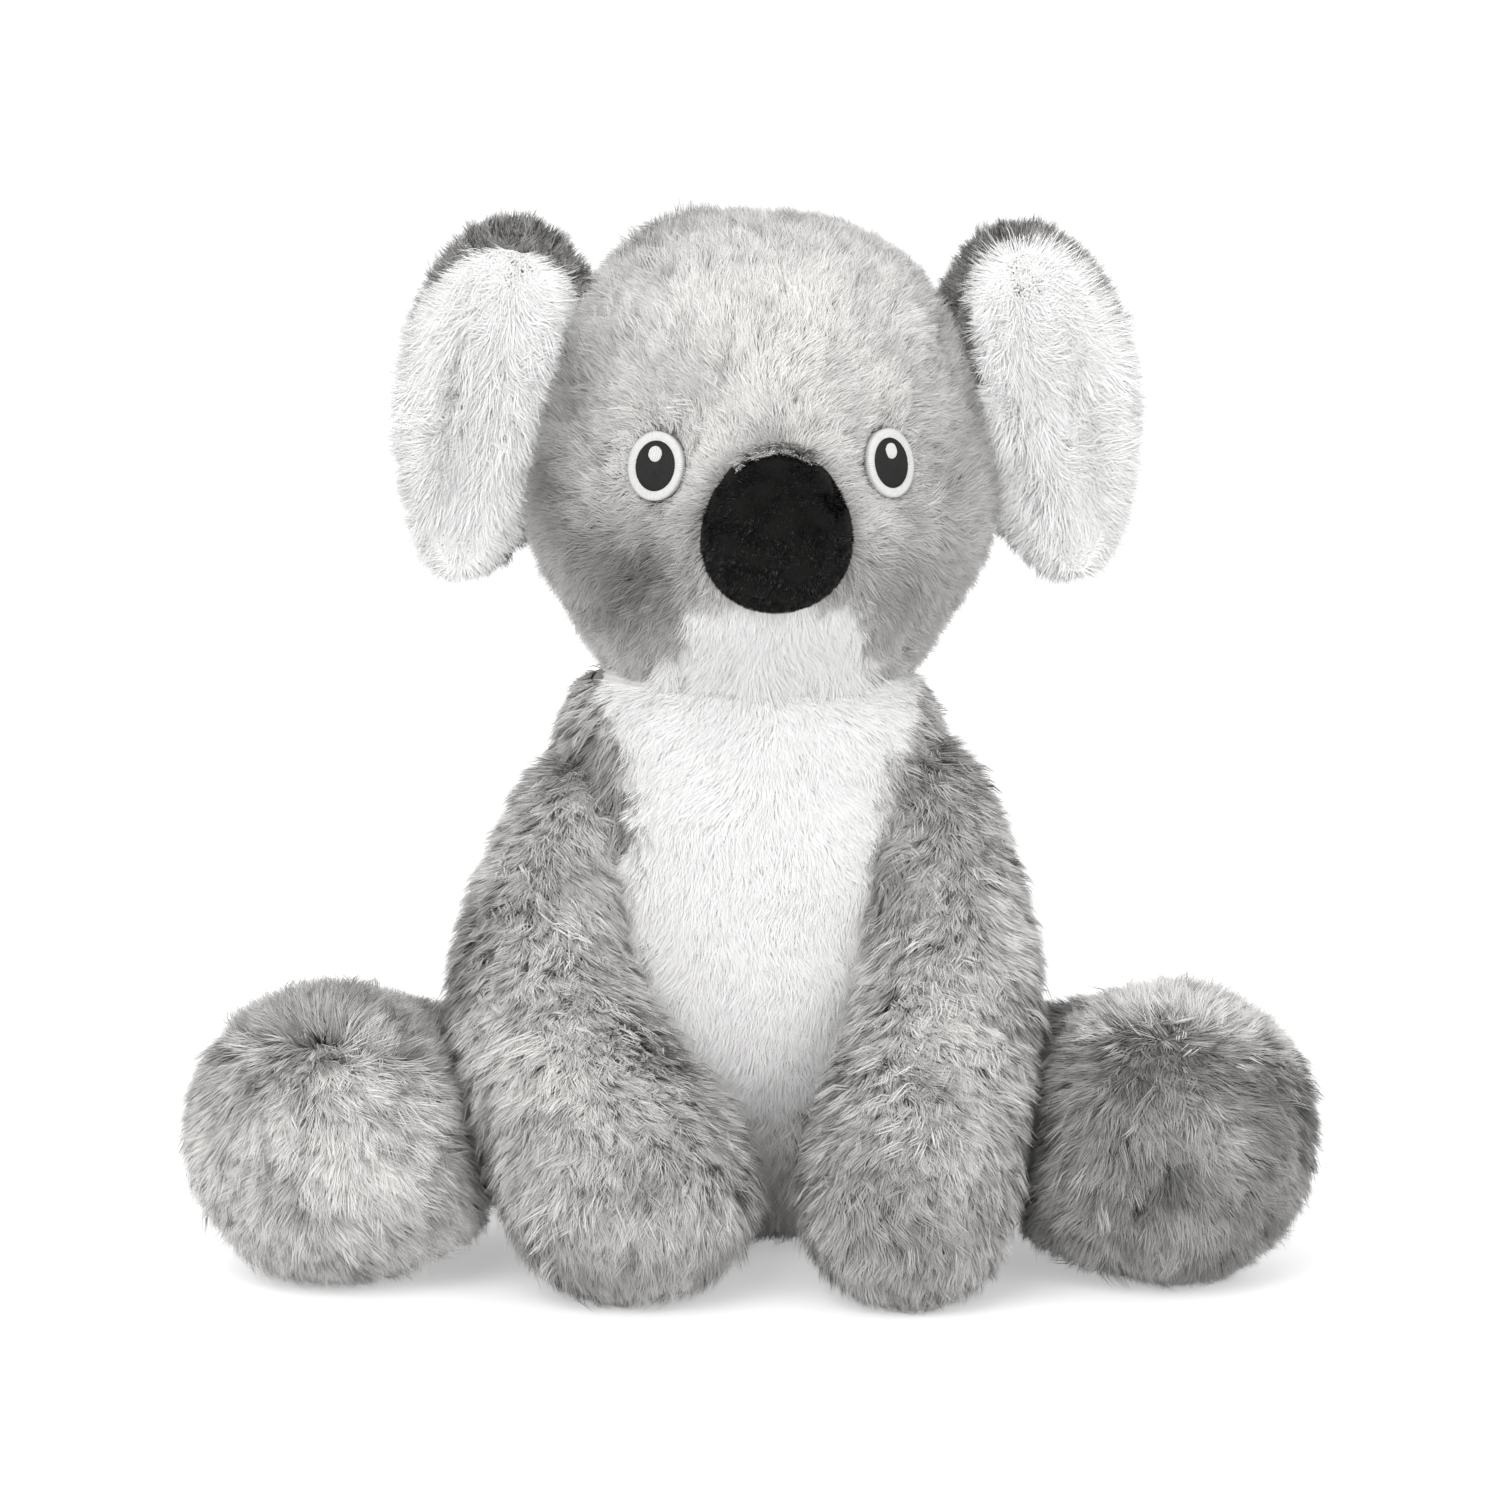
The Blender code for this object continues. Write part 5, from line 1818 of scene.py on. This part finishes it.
        comb = Comb((0.0, -0.5, -1.0), source=(0.0, -0.06, 0.25), spread=0.2)
        coat = Coat(comb, Tone(0.74), keep=top_edge)
        tufts = Pile(
            length=0.0034, density=9.0e6, inset=0.0004, width=0.00028, bends=2, tip_lean=70, lock_radius=0.0012,
            lock_size=8, stray=0.6, uneven=0.3, lock_tone=0.15,
        )
        dresser.fur("nose_fringe", form, Cloth.GREY_PILE, coat, (tufts,), seed=28, cells=SMALL_MAP)
        dresser.skin(
            "nose_wadding_fibre", form, Cloth.FILLING, 0.0032, (20, 28), fill=0.9, stands_for="nose_wadding",
        )


EYES = {
    Side.RIGHT: StitchedEye(Side.RIGHT, 0.0165),
    Side.LEFT: StitchedEye(Side.LEFT, 0.0150),
}


class EarForm(Surface):
    """Half of a cupped bean: its outline in X and Z, its bulge and cup in Y.

    With r = sin(pi u) and the angle a = 2 pi v, outward = r cos a, upward = r sin a and deep = cos(pi u):
    x = out + outward (half width)(1 + taper upward), z = rise + upward (half height), and
    y = -bulge x deep - cup outward^2 + valley x deep x exp(-(outward / 0.3)^2)(1 - upward^2 / 2), where the
    last part is in front alone. The front is u = 0.
    """

    def __init__(
        self, ear: "Ear", front: float, back: float, shrink: float, valley: float, shift: tuple[float, float] = (0, 0)
    ) -> None:
        """Lays out one half of an ear.

        Args:
            ear: the ear's sizes.
            front: how far the front bulges.
            back: how far the back bulges.
            shrink: how far its outline lies inside the ear's.
            valley: how deep the fold down the middle of its front is.
            shift: how far it is moved away from the head and upwards.
        """
        self.ear, self.front, self.back, self.shrink, self.valley = ear, front, back, shrink, valley
        self.shift = shift
        self.place = ear.place
        rim, one_side, other_side = np.array([0.5]), np.array([0.0]), np.array([0.5])
        away = self.point(rim, one_side) - self.point(rim, other_side)
        self.outward_sign = float(np.sign(dot(self.normal(rim, one_side), away))[0])

    def point(self, u: Array, v: Array) -> Array:
        """Points of the half ear, in the world.

        Args:
            u: from pole to pole, 0 to 1.
            v: round about, 0 to 1.

        Returns:
            The points, one to a row.
        """
        ear = self.ear
        sign = ear.side.value
        round_share = np.sin(math.pi * u) * ear.smoothing
        deep = np.cos(math.pi * u) * ear.smoothing
        outward = round_share * np.cos(2 * math.pi * v)
        upward = round_share * np.sin(2 * math.pi * v)
        wide = (ear.width / 2 - self.shrink) * outward * (1 + ear.taper * upward)
        tall = ear.rise + (ear.height / 2 - self.shrink) * upward
        fold = self.valley * bell(outward, 0.3) * np.clip(deep, 0, 1) * (1 - 0.5 * upward**2)
        bulge = np.where(deep > 0, -self.front * deep, -self.back * deep)
        y = bulge - ear.cup * outward**2 + fold
        return moved(vectors_of(sign * (ear.out + wide + self.shift[0]), y, tall + self.shift[1]), self.place)


@dataclass(frozen=True)
class Ear:
    """One ear: a dark grey back whose rim shows, and a long white lining."""

    dresser: Dresser
    head: Head
    side: Side
    out: float
    rise: float
    width: float = 0.0530
    height: float = 0.1040
    taper: float = 0.22
    cup: float = 0.0085
    back_bulge: float = 0.0085
    lining_bulge: float = 0.0125
    rim: float = 0.0035
    seam_height: float = 0.0640
    seam_back: float = 0.0080
    lean: float = math.radians(10)
    smoothing: float = 0.965

    @property
    def place(self) -> Matrix:
        """The ear's frame: on the side of the head, leaning in at its top.

        Returns:
            The frame.
        """
        height, _, half_width, _ = (column[::-1] for column in self.head.tables())
        x = self.side.value * float(np.interp(self.seam_height, height, half_width))
        seam = Matrix.Translation((x, self.seam_back, self.seam_height))
        return self.head.place @ seam @ Matrix.Rotation(-self.side.value * self.lean, 4, "Y")

    def local(self, points: Array) -> Array:
        """World points in the ear's frame, with X growing away from the head.

        Args:
            points: places in the world, one to a row.

        Returns:
            The points, one to a row.
        """
        spots = moved(points, self.place.inverted())
        spots[:, 0] = self.side.value * spots[:, 0] - self.out
        return spots

    def lining_comb(self, points: Array, outward: Array) -> Array:
        """The lining's fur lies away from the fold, outwards to the rim, and a little down.

        Args:
            points: places in the world, one to a row.
            outward: the outward direction at each place.

        Returns:
            A way for each place.
        """
        spots = self.local(points)
        side = np.tanh(spots[:, 0] / 0.006)
        up = spots[:, 2] / (self.height / 2)
        lift = 0.25 * up - 0.35 + 1.1 * self.over_the_top(spots)
        return turned(vectors_of(self.side.value * side, -0.15, lift), self.place)

    def over_the_top(self, spots: Array) -> Array:
        """How much the lining's fur is brushed over the rim: on the toy's left ear, high on its far side."""
        return (self.side is Side.LEFT) * rise(spots[:, 2], 0.022, 0.042) * rise(spots[:, 0], -0.008, 0.004)

    def back_comb(self, points: Array, outward: Array) -> Array:
        """The back's fur lies towards the rim: away from the ear's middle, and a little down.

        Args:
            points: places in the world, one to a row.
            outward: the outward direction at each place.

        Returns:
            A way for each place.
        """
        spots = self.local(points)
        way = vectors_of(self.side.value * spots[:, 0], 0, spots[:, 2] * 0.6)
        return turned(unit(way) + np.array([0, 0, -0.25]), self.place)

    def lining_shade(self, points: Array) -> Array:
        """The lining's lightness: white, with painted shade in the fold and on the side near the head.

        Args:
            points: places in the world, one to a row.

        Returns:
            The lightness of each place.
        """
        spots = self.local(points)
        # Painted shade: darker in the fold and on the side near the head.
        fold = bell(spots[:, 0], 0.004)
        inner = rise(-spots[:, 0], 0.008, 0.022)
        return 0.97 * (1 - 0.08 * fold) * (1 - 0.20 * inner)

    def dress(self, head: RingForm) -> None:
        """Adds the ear's two skins and two piles.

        Args:
            head: the head's form, in which no fur starts.
        """
        dresser, fill = self.dresser.on("ear", self.side), 0.5
        back = EarForm(self, front=0.0030, back=self.back_bulge, shrink=0.0040 - self.rim, valley=0)
        back_core = EarForm(self, front=-0.001, back=self.back_bulge - 0.0035, shrink=0.0055, valley=0)
        dresser.skin("ear_back_skin", back_core, Cloth.GREY_SKIN, 0, (48, 64), fill=fill)

        def outside(points: Array) -> Array:
            """Clear of the head."""
            return head.depth(points) < 0.006

        dark = Coat(self.back_comb, Tone(0.38), keep=outside)
        layers = (
            Pile(
                length=0.0066, density=6.5e6, inset=0.004, root_lean=32, lock_radius=0.0016, lock_size=10,
                lock_pull=0.6, stray=0.5, lock_tone=0.3, tone=0.15, mottle=0.2,
            ),
            Pile(
                length=0.0080, density=0.8e6, inset=0.004, width=0.00034, bends=2, root_lean=20, tip_lean=50,
                stray=0.5, lock_tone=0.3, tone=0.15, mottle=0.2,
            ),
        )
        dresser.fur(
            "ear_back_pile", back, Cloth.GREY_PILE, dark, layers, seed=31, fill=fill, stands_for="ear_back",
            cells=SMALL_MAP,
        )
        shift = (0.0026, -0.0030)
        front = EarForm(self, front=self.lining_bulge, back=0.001, shrink=0.0038, valley=0.0050, shift=shift)
        front_core = EarForm(
            self, front=self.lining_bulge - 0.0055, back=0.001, shrink=0.0095, valley=0.0050, shift=shift
        )
        dresser.skin("ear_lining_skin", front_core, Cloth.WHITE_SKIN, 0, (48, 64), fill=fill)

        def in_front(points: Array) -> Array:
            """The front of the lining, clear of the head, and of the dark rim beside the top of the head.

            Args:
                points: places in the world, one to a row.

            Returns:
                True for each that is.
            """
            spots = self.local(points)
            broad, foot = (0.0160, -0.010) if self.side is Side.LEFT else (0.0125, -0.002)
            rim = -0.0275 + broad * rise(spots[:, 2], foot, foot + 0.018) + 0.0010 * waves(points, 0.007, 45)
            return outside(points) & (spots[:, 1] < 0.001) & (spots[:, 0] > rim)

        def fringe(points: Array) -> Array:
            """The lining's fur is cropped at the top and longest on the side away from the head.

            Args:
                points: places in the world, one to a row.

            Returns:
                What the fur's length is multiplied by.
            """
            spots = self.local(points)
            top = rise(spots[:, 2], 0.030, 0.050)
            inner = rise(-spots[:, 0], 0.012, 0.024)
            brushed = self.over_the_top(spots)
            outer = 0.10 * rise(spots[:, 0], 0.008, 0.024)
            return (1 + outer - 0.25 * inner + 0.35 * brushed) * (1 - 0.4 * top * (1 - brushed))

        white = Coat(self.lining_comb, self.lining_shade, fringe, in_front)
        layers = (
            Pile(
                length=0.0090, density=8.4e6, inset=0.0056, root_lean=46, lock_pull=0.35, stray=0.4, fray=0.4,
                lock_tone=0.015, tone=0.025, mottle=0.015,
            ),
            Pile(
                length=0.0110, density=1.6e6, inset=0.0056, width=0.00034, bends=3, root_lean=26, tip_lean=70,
                lock_radius=0.0020, lock_size=10, lock_pull=0.4, stray=0.45, fray=0.4, uneven=0.2,
                lock_tone=0.03, tone=0.03, mottle=0.015,
            ),
        )
        dresser.fur(
            "ear_lining_pile", front, Cloth.WHITE_PILE, white, layers, seed=41, fill=fill,
            stands_for="ear_lining", cells=SMALL_MAP,
        )


@dataclass(frozen=True)
class LimbShape:
    """A limb's form: rings square to the straight line from its joint to its swollen end."""

    joint: Place
    reach: Place
    bow: Place
    slim: float
    full: float
    depth_share: float
    shares: tuple

    def form(self) -> RingForm:
        """The limb's form: middle = joint + reach x along + bow x bent, radius = (slim to full) x fullness.

        Returns:
            The form, in the world.
        """
        along, bent, swell, fullness = np.array(self.shares).T[:, :, None]
        reach = np.array(self.reach)
        direction = unit(reach)
        across = unit(np.cross(direction, UPRIGHT))
        upward = unit(np.cross(across, direction))
        radius = (self.slim + (self.full - self.slim) * swell) * fullness
        middles = np.array(self.joint) + reach * along + np.array(self.bow) * bent
        plain = RingForm(middles, across * radius, upward * radius * self.depth_share, direction)
        return plain.dropped(SEAT_LEVEL)


# The arms' spots. On each, the dark ones high on the inner side are painted shade under the head and where the arm
# meets the body; the rest are lighter or darker patches.
ARM_SPOTS_AND_SHADE = {
    Side.RIGHT: (
        Spot((-0.049, 0.004, 0.145), 0.011, 0.18),
        Spot((-0.033, -0.018, 0.128), 0.009, 0.30),
        Spot((-0.078, -0.020, 0.090), 0.016, 0.70),
        Spot((-0.052, -0.062, 0.086), 0.026, 1.32),
        Spot((-0.040, -0.030, 0.118), 0.010, 0.85),
        Spot((-0.024, -0.090, 0.030), 0.030, 0.82),
    ),
    Side.LEFT: (
        Spot((0.046, -0.008, 0.136), 0.014, 0.78),
        Spot((0.038, -0.020, 0.122), 0.010, 0.60),
        Spot((0.042, -0.020, 0.106), 0.010, 0.80),
        Spot((0.052, -0.060, 0.090), 0.028, 1.34),
        Spot((0.044, -0.085, 0.028), 0.028, 0.70),
    ),
}


@dataclass(frozen=True)
class Arm:
    """One arm, which swells into a paw."""

    dresser: Dresser
    side: Side
    paw_out: float
    paw_radius: float
    bow: float
    level: float
    shoulder: Place = (0.0455, 0.018, 0.126)
    radius: float = 0.0236
    depth_share: float = 0.92
    paw_y: float = -0.0505
    inset: float = 0.0048
    shares: tuple = (
        (-0.17, 0.00, 0.00, 0.00),
        (-0.12, 0.00, 0.00, 0.62),
        (0.02, 0.10, 0.00, 0.95),
        (0.22, 0.60, 0.00, 1.00),
        (0.45, 1.00, 0.18, 1.00),
        (0.68, 0.62, 0.55, 1.00),
        (0.90, 0.12, 0.95, 1.00),
        (1.08, 0.00, 1.00, 0.97),
        (1.23, 0.00, 1.00, 0.72),
        (1.31, 0.00, 1.00, 0.00),
    )

    def form(self) -> RingForm:
        """The arm's form, in the world.

        Returns:
            The form.
        """
        sign = self.side.value
        joint = (sign * self.shoulder[0], *self.shoulder[1:])
        rise_by = self.paw_radius * self.depth_share
        reach = (sign * (self.paw_out - self.shoulder[0]), self.paw_y - self.shoulder[1], rise_by - self.shoulder[2])
        bow = (sign * self.bow, 0, 0)
        return LimbShape(joint, reach, bow, self.radius, self.paw_radius, self.depth_share, self.shares).form()

    def dress(self, torso: RingForm) -> None:
        """Adds the arm's skin, pile and filling.

        Args:
            torso: the torso's form, in which no fur starts.
        """
        form, sign, fill = self.form(), self.side.value, 0.85
        dresser = self.dresser.on("arm", self.side)
        dresser.skin("arm_skin", form, Cloth.GREY_SKIN, self.inset + SKIN_UNDER, (64, 60), fill=fill)
        coat = Coat(
            Comb((0.12 * sign, -0.25, -1.0), source=(sign * 0.050, 0.02, 0.15), spread=0.30),
            Tone(self.level, ARM_SPOTS_AND_SHADE[self.side]),
            keep=lambda points: torso.depth(points) < BURIED,
        )
        layers = body_layers(self.inset, 5.1e6)
        dresser.fur("arm_pile", form, Cloth.GREY_PILE, coat, layers, seed=51, fill=fill, stands_for="arm_shell")
        depth = self.inset + FILLING_UNDER
        dresser.skin("arm_filling", form, Cloth.FILLING, depth, (28, 30), fill=0.8, stands_for="arm_stuffing")


class SaggedForm(RingForm):
    """A limb's form whose swollen end sags to one side, low down.

    A point moves by sag x rise(s) x rise(d) x rise(a), where s is how far it lies towards the sag from the
    end's middle, d how far below that middle, and a how far ahead of it.
    """

    def __init__(self, plain: RingForm, middle: Array, sag: Array) -> None:
        """Takes the plain form, the middle of its end, and how far the fullest place moves."""
        self.middle, self.sag = middle, sag
        super().__init__(*(ring[1:-1] for ring in plain.rings), plain.line)

    def point(self, u: Array, v: Array) -> Array:
        """Points of the form.

        Args:
            u: from pole to pole, 0 to 1.
            v: round about, 0 to 1.

        Returns:
            The points, one to a row.
        """
        points = super().point(u, v)
        off = points - self.middle
        beside = rise(off @ unit(self.sag), 0.002, 0.040)
        share = beside * rise(-off[:, 2], -0.004, 0.034) * rise(-off[:, 1], -0.016, 0.016)
        return points + share[:, None] * self.sag


# The feet's spots: most are painted shade in the creases by the seam and low on the foot; the toy's left foot also
# has one lighter patch.
FOOT_SPOTS_AND_CREASE_SHADE = {
    Side.RIGHT: (
        Spot((-0.150, -0.036, 0.064), 0.005, 0.30),
        Spot((-0.122, -0.046, 0.071), 0.005, 0.45),
        Spot((-0.092, -0.046, 0.072), 0.0035, 0.20),
        Spot((-0.097, -0.052, 0.062), 0.004, 0.45),
        Spot((-0.132, -0.046, 0.060), 0.005, 0.60),
        Spot((-0.110, -0.020, 0.086), 0.010, 0.75),
        Spot((-0.085, -0.045, 0.030), 0.014, 0.82),
        Spot((-0.115, -0.055, 0.018), 0.018, 0.84),
    ),
    Side.LEFT: (
        Spot((0.110, -0.044, 0.072), 0.005, 0.50),
        Spot((0.102, -0.046, 0.066), 0.005, 0.50),
        Spot((0.138, -0.038, 0.064), 0.006, 0.30),
        Spot((0.146, -0.030, 0.058), 0.005, 0.45),
        Spot((0.088, -0.044, 0.046), 0.006, 0.45),
        Spot((0.086, -0.050, 0.022), 0.006, 0.45),
        Spot((0.112, -0.060, 0.044), 0.012, 0.74),
        Spot((0.128, -0.058, 0.052), 0.010, 1.18),
    ),
}


@dataclass(frozen=True)
class Leg:
    """One leg, which ends in a big round foot with an arched seam across its face."""

    dresser: Dresser
    side: Side
    foot_out: float
    arch: tuple[float, float, float]
    upper: float
    face: float
    hip: Place = (0.0440, 0.036, 0.0385)
    thigh_radius: float = 0.0285
    foot_y: float = -0.024
    foot_radius: float = 0.0435
    bow: float = 0.0120
    sag: float = 0.0150
    seam_ahead: float = 0.0210
    sole_tilt: float = math.radians(14)
    sole_turn: float = math.radians(4)
    inset: float = 0.0048
    shares: tuple = (
        (-0.28, 0.00, 0.00, 0.00),
        (-0.20, 0.00, 0.00, 0.62),
        (0.04, 0.20, 0.00, 0.94),
        (0.27, 0.85, 0.00, 1.00),
        (0.50, 1.00, 0.05, 1.00),
        (0.74, 0.40, 0.45, 1.00),
        (0.97, 0.00, 1.00, 1.00),
        (1.20, 0.00, 1.00, 0.93),
        (1.39, 0.00, 1.00, 0.62),
        (1.47, 0.00, 1.00, 0.00),
    )

    def form(self) -> RingForm:
        """The leg's form, in the world.

        Returns:
            The form.
        """
        sign = self.side.value
        joint = (sign * self.hip[0], *self.hip[1:])
        reach = (sign * (self.foot_out - self.hip[0]), self.foot_y - self.hip[1], self.foot_radius - self.hip[2])
        outward = Vector((-reach[1] * sign, reach[0] * sign, 0)).normalized() * self.bow
        plain = LimbShape(joint, reach, tuple(outward), self.thigh_radius, self.foot_radius, 1, self.shares).form()
        middle = np.array([sign * self.foot_out, self.foot_y, self.foot_radius])
        return SaggedForm(plain, middle, np.array([-sign * self.sag, 0, 0]))

    def ahead_of_seam(self, points: Array) -> Array:
        """How far each place lies ahead of the foot's seam.

        Args:
            points: places in the world, one to a row.

        Returns:
            A length for each, less than zero behind the seam.
        """
        turn = Matrix.Rotation(self.side.value * self.sole_turn, 4, "Z") @ Matrix.Rotation(self.sole_tilt, 4, "X")
        foot = Matrix.Translation((self.side.value * self.foot_out, self.foot_y, self.foot_radius)) @ turn
        return -moved(points, foot.inverted())[:, 1] - self.seam_ahead

    def above_arch(self, points: Array) -> Array:
        """How far each place is above the parting: z - (top - curve (x - middle)^2 + waves of 1.6 mm).

        Args:
            points: places in the world, one to a row.

        Returns:
            A length for each, less than zero below it.
        """
        middle, top, curve = self.arch
        off = points[:, 0] - self.side.value * middle
        wander = 0.0010 * waves(points, 0.010, 7) + 0.0006 * waves(points, 0.004, 6)
        return points[:, 2] - (top - curve * off**2 + wander)

    def comb(self, points: Array, outward: Array) -> Array:
        """The way the fur lies: down and apart below the parting, back and apart above it.

        Args:
            points: places in the world, one to a row.
            outward: the outward direction at each place.

        Returns:
            A way for each place.
        """
        off = (points[:, 0] - self.side.value * self.arch[0]) / self.foot_radius
        above = rise(self.above_arch(points), -0.0015, 0.0015)[:, None]
        return vectors_of(1.1 * off, 0, -1) * (1 - above) + vectors_of(0.6 * off, 1, 0.05) * above

    def shade(self, points: Array) -> Array:
        """How light the fur is: one tone above the parting, another below, and painted shade along the seam and in
        the creases by it.

        Args:
            points: places on the leg.

        Returns:
            Their lightness.
        """
        tone = self.face + (self.upper - self.face) * rise(self.above_arch(points), -0.0008, 0.0008)
        tone = tone * (1 + 0.11 * waves(points, 0.018, 8) + 0.09 * waves(points, 0.007, 9))
        # Painted shade along the high part of the seam's groove.
        tone = tone * (1 - 0.22 * self.seam_nearness(points))
        return spotted(tone, points, FOOT_SPOTS_AND_CREASE_SHADE[self.side])

    def seam_nearness(self, points: Array) -> Array:
        """1 on the high part of the foot's seam, and exp(-(distance / 2.2 mm)^2) beside it."""
        return bell(self.ahead_of_seam(points), 0.0022) * rise(points[:, 2], 0.050, 0.064)

    def dress(self, torso: RingForm) -> None:
        """Adds the leg's skin and pile, those of the foot's sole side, and the filling.

        Args:
            torso: the torso's form, in which no fur starts.
        """
        form, dresser, fill = self.form(), self.dresser.on("leg", self.side), 0.85
        dresser.skin("leg_skin", form, Cloth.GREY_SKIN, self.inset + SKIN_UNDER, (64, 64), fill=fill)

        def sole(points: Array) -> Array:
            """The sole side of the foot, up to its seam."""
            return self.ahead_of_seam(points) > 0

        dresser.skin("foot_skin", form, Cloth.GREY_SKIN, self.inset + 0.0004, (90, 90), fill, panel=sole)

        def seam_trim(points: Array) -> Array:
            """Fur is caught short in the seam."""
            return 1 - 0.35 * self.seam_nearness(points)

        def leg_region(points: Array) -> Array:
            """Behind the seam and clear of the torso."""
            return (torso.depth(points) < BURIED) & (self.ahead_of_seam(points) <= 0)

        def sole_region(points: Array) -> Array:
            """Ahead of the seam, and a little over it."""
            return self.ahead_of_seam(points) > -0.0005

        for name, region, density, seed, stands_for in (
            ("leg_pile", leg_region, 4.1e6, 61, "leg_shell"),
            ("foot_pile", sole_region, 6.5e6, 71, "foot_panel"),
        ):
            coat = Coat(self.comb, self.shade, seam_trim, region)
            layers = body_layers(self.inset, density)
            dresser.fur(name, form, Cloth.GREY_PILE, coat, layers, seed=seed, fill=fill, stands_for=stands_for)
        depth = self.inset + FILLING_UNDER
        dresser.skin("leg_filling", form, Cloth.FILLING, depth, (28, 30), fill=0.8, stands_for="leg_stuffing")


# ---------------------------------------------------------------- the studio


@dataclass(frozen=True)
class Lamp:
    """One broad lamp: its place, its width and its watts."""

    place: Place
    width: float
    watts: float


@dataclass(frozen=True)
class Studio:
    """A plain pale floor, soft light and the camera at the photograph's angle."""

    target: Place = (0.0, 0.0, 0.1436)
    distance: float = 3.5
    elevation: float = math.radians(12)
    lens: float = 304.6
    floor_half: float = 4.0
    floor_tone: float = 0.86
    floor_glow: float = 0.42
    world_level: float = 0.82
    lamps: tuple[Lamp, ...] = (Lamp((-0.8, -1.9, 1.5), 1.5, 31.0), Lamp((1.1, -1.9, 0.6), 1.2, 15.5))

    def camera(self) -> None:
        """The camera, which looks at the target from straight in front and a little above."""
        data = bpy.data.cameras.new("camera")
        data.lens = self.lens
        made = bpy.data.objects.new("camera", data)
        back = Vector((0, -math.cos(self.elevation), math.sin(self.elevation)))
        made.location = Vector(self.target) + back * self.distance
        made.rotation_euler = back.to_track_quat("Z", "Y").to_euler()
        bpy.context.scene.collection.objects.link(made)
        bpy.context.scene.camera = made

    def light(self) -> None:
        """Two broad lamps, and a pale world that the camera sees as white."""
        for number, lamp in enumerate(self.lamps):
            data = bpy.data.lights.new(f"lamp_{number}", "AREA")
            data.energy = lamp.watts
            data.size = lamp.width
            made = bpy.data.objects.new(data.name, data)
            made.location = lamp.place
            made.rotation_euler = (Vector(lamp.place) - Vector(self.target)).to_track_quat("Z", "Y").to_euler()
            bpy.context.scene.collection.objects.link(made)
        world = bpy.data.worlds.new("studio")
        bpy.context.scene.world = world
        bench = Bench(world)
        camera, glossy, through = (bench.node("ShaderNodeLightPath", output=number) for number in (0, 3, 6))
        direct = bench.node("ShaderNodeMath", {"operation": "MAXIMUM"}, {0: camera, 1: glossy})
        direct = bench.node("ShaderNodeMath", {"operation": "MAXIMUM"}, {0: direct, 1: through})
        strength = self.world_level + (1 - self.world_level) * direct
        shader = bench.node("ShaderNodeBackground", {}, {"Color": (1, 1, 1, 1), "Strength": strength})
        bench.node("ShaderNodeOutputWorld", {}, {"Surface": shader})

    def floor(self) -> None:
        """A pale floor. The camera sees it near white, with the toy's soft shadow on it."""
        half = self.floor_half
        points = np.array([(-half, -half, 0), (half, -half, 0), (half, half, 0), (-half, half, 0)], float)
        mesh = mesh_from(points, np.array([[0, 1, 2, 3]]))
        mesh.name = "floor"
        material = bpy.data.materials.new("pale_floor")
        bench = Bench(material)
        matt = bench.node("ShaderNodeBsdfDiffuse", {}, {"Color": (*[self.floor_tone] * 3, 1)})
        glow = bench.node("ShaderNodeEmission", {}, {"Color": (1, 1, 1, 1), "Strength": self.floor_glow})
        shown = bench.node("ShaderNodeAddShader", {}, {0: matt, 1: glow})
        camera_ray = bench.node("ShaderNodeLightPath", output=0)
        both = bench.node("ShaderNodeMixShader", {}, {0: camera_ray, 1: matt, 2: shown})
        bench.node("ShaderNodeOutputMaterial", {}, {"Surface": both})
        mesh.materials.append(material)
        floor = bpy.data.objects.new("floor", mesh)
        bpy.context.scene.collection.objects.link(floor)
        floor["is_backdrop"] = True

    def build(self) -> None:
        """Sets the studio up."""
        self.camera()
        self.light()
        self.floor()
        bpy.context.scene.view_settings.view_transform = "Standard"


def main() -> None:
    """Builds the toy's looks piece by piece, then the studio."""
    logging.basicConfig(level=logging.INFO, format="%(name)s %(message)s")
    dresser = Dresser({cloth: cloth.finish.make() for cloth in Cloth}, "torso")
    torso_form = Torso(dresser).dress()
    head = Head(dresser)
    head_form = head.dress(torso_form)
    for side, out, lift in ((Side.RIGHT, 0.0130, -0.0005), (Side.LEFT, 0.0165, -0.0040)):
        Ear(dresser, head, side, out, lift).dress(head_form)
    for arm in (
        Arm(dresser, Side.RIGHT, 0.0325, 0.0375, 0.0205, 0.72),
        Arm(dresser, Side.LEFT, 0.0430, 0.0320, 0.0125, 0.70),
    ):
        arm.dress(torso_form)
    for leg in (
        Leg(dresser, Side.RIGHT, 0.1135, (0.121, 0.0705, 9.0), 0.56, 0.86),
        Leg(dresser, Side.LEFT, 0.1140, (0.112, 0.0740, 11.0), 1.05, 0.40),
    ):
        leg.dress(torso_form)
    Studio().build()
    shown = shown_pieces()
    log.info("%d pieces, %d triangles", len(shown), sum(map(triangle_count, shown)))


if __name__ == "__main__":
    main()
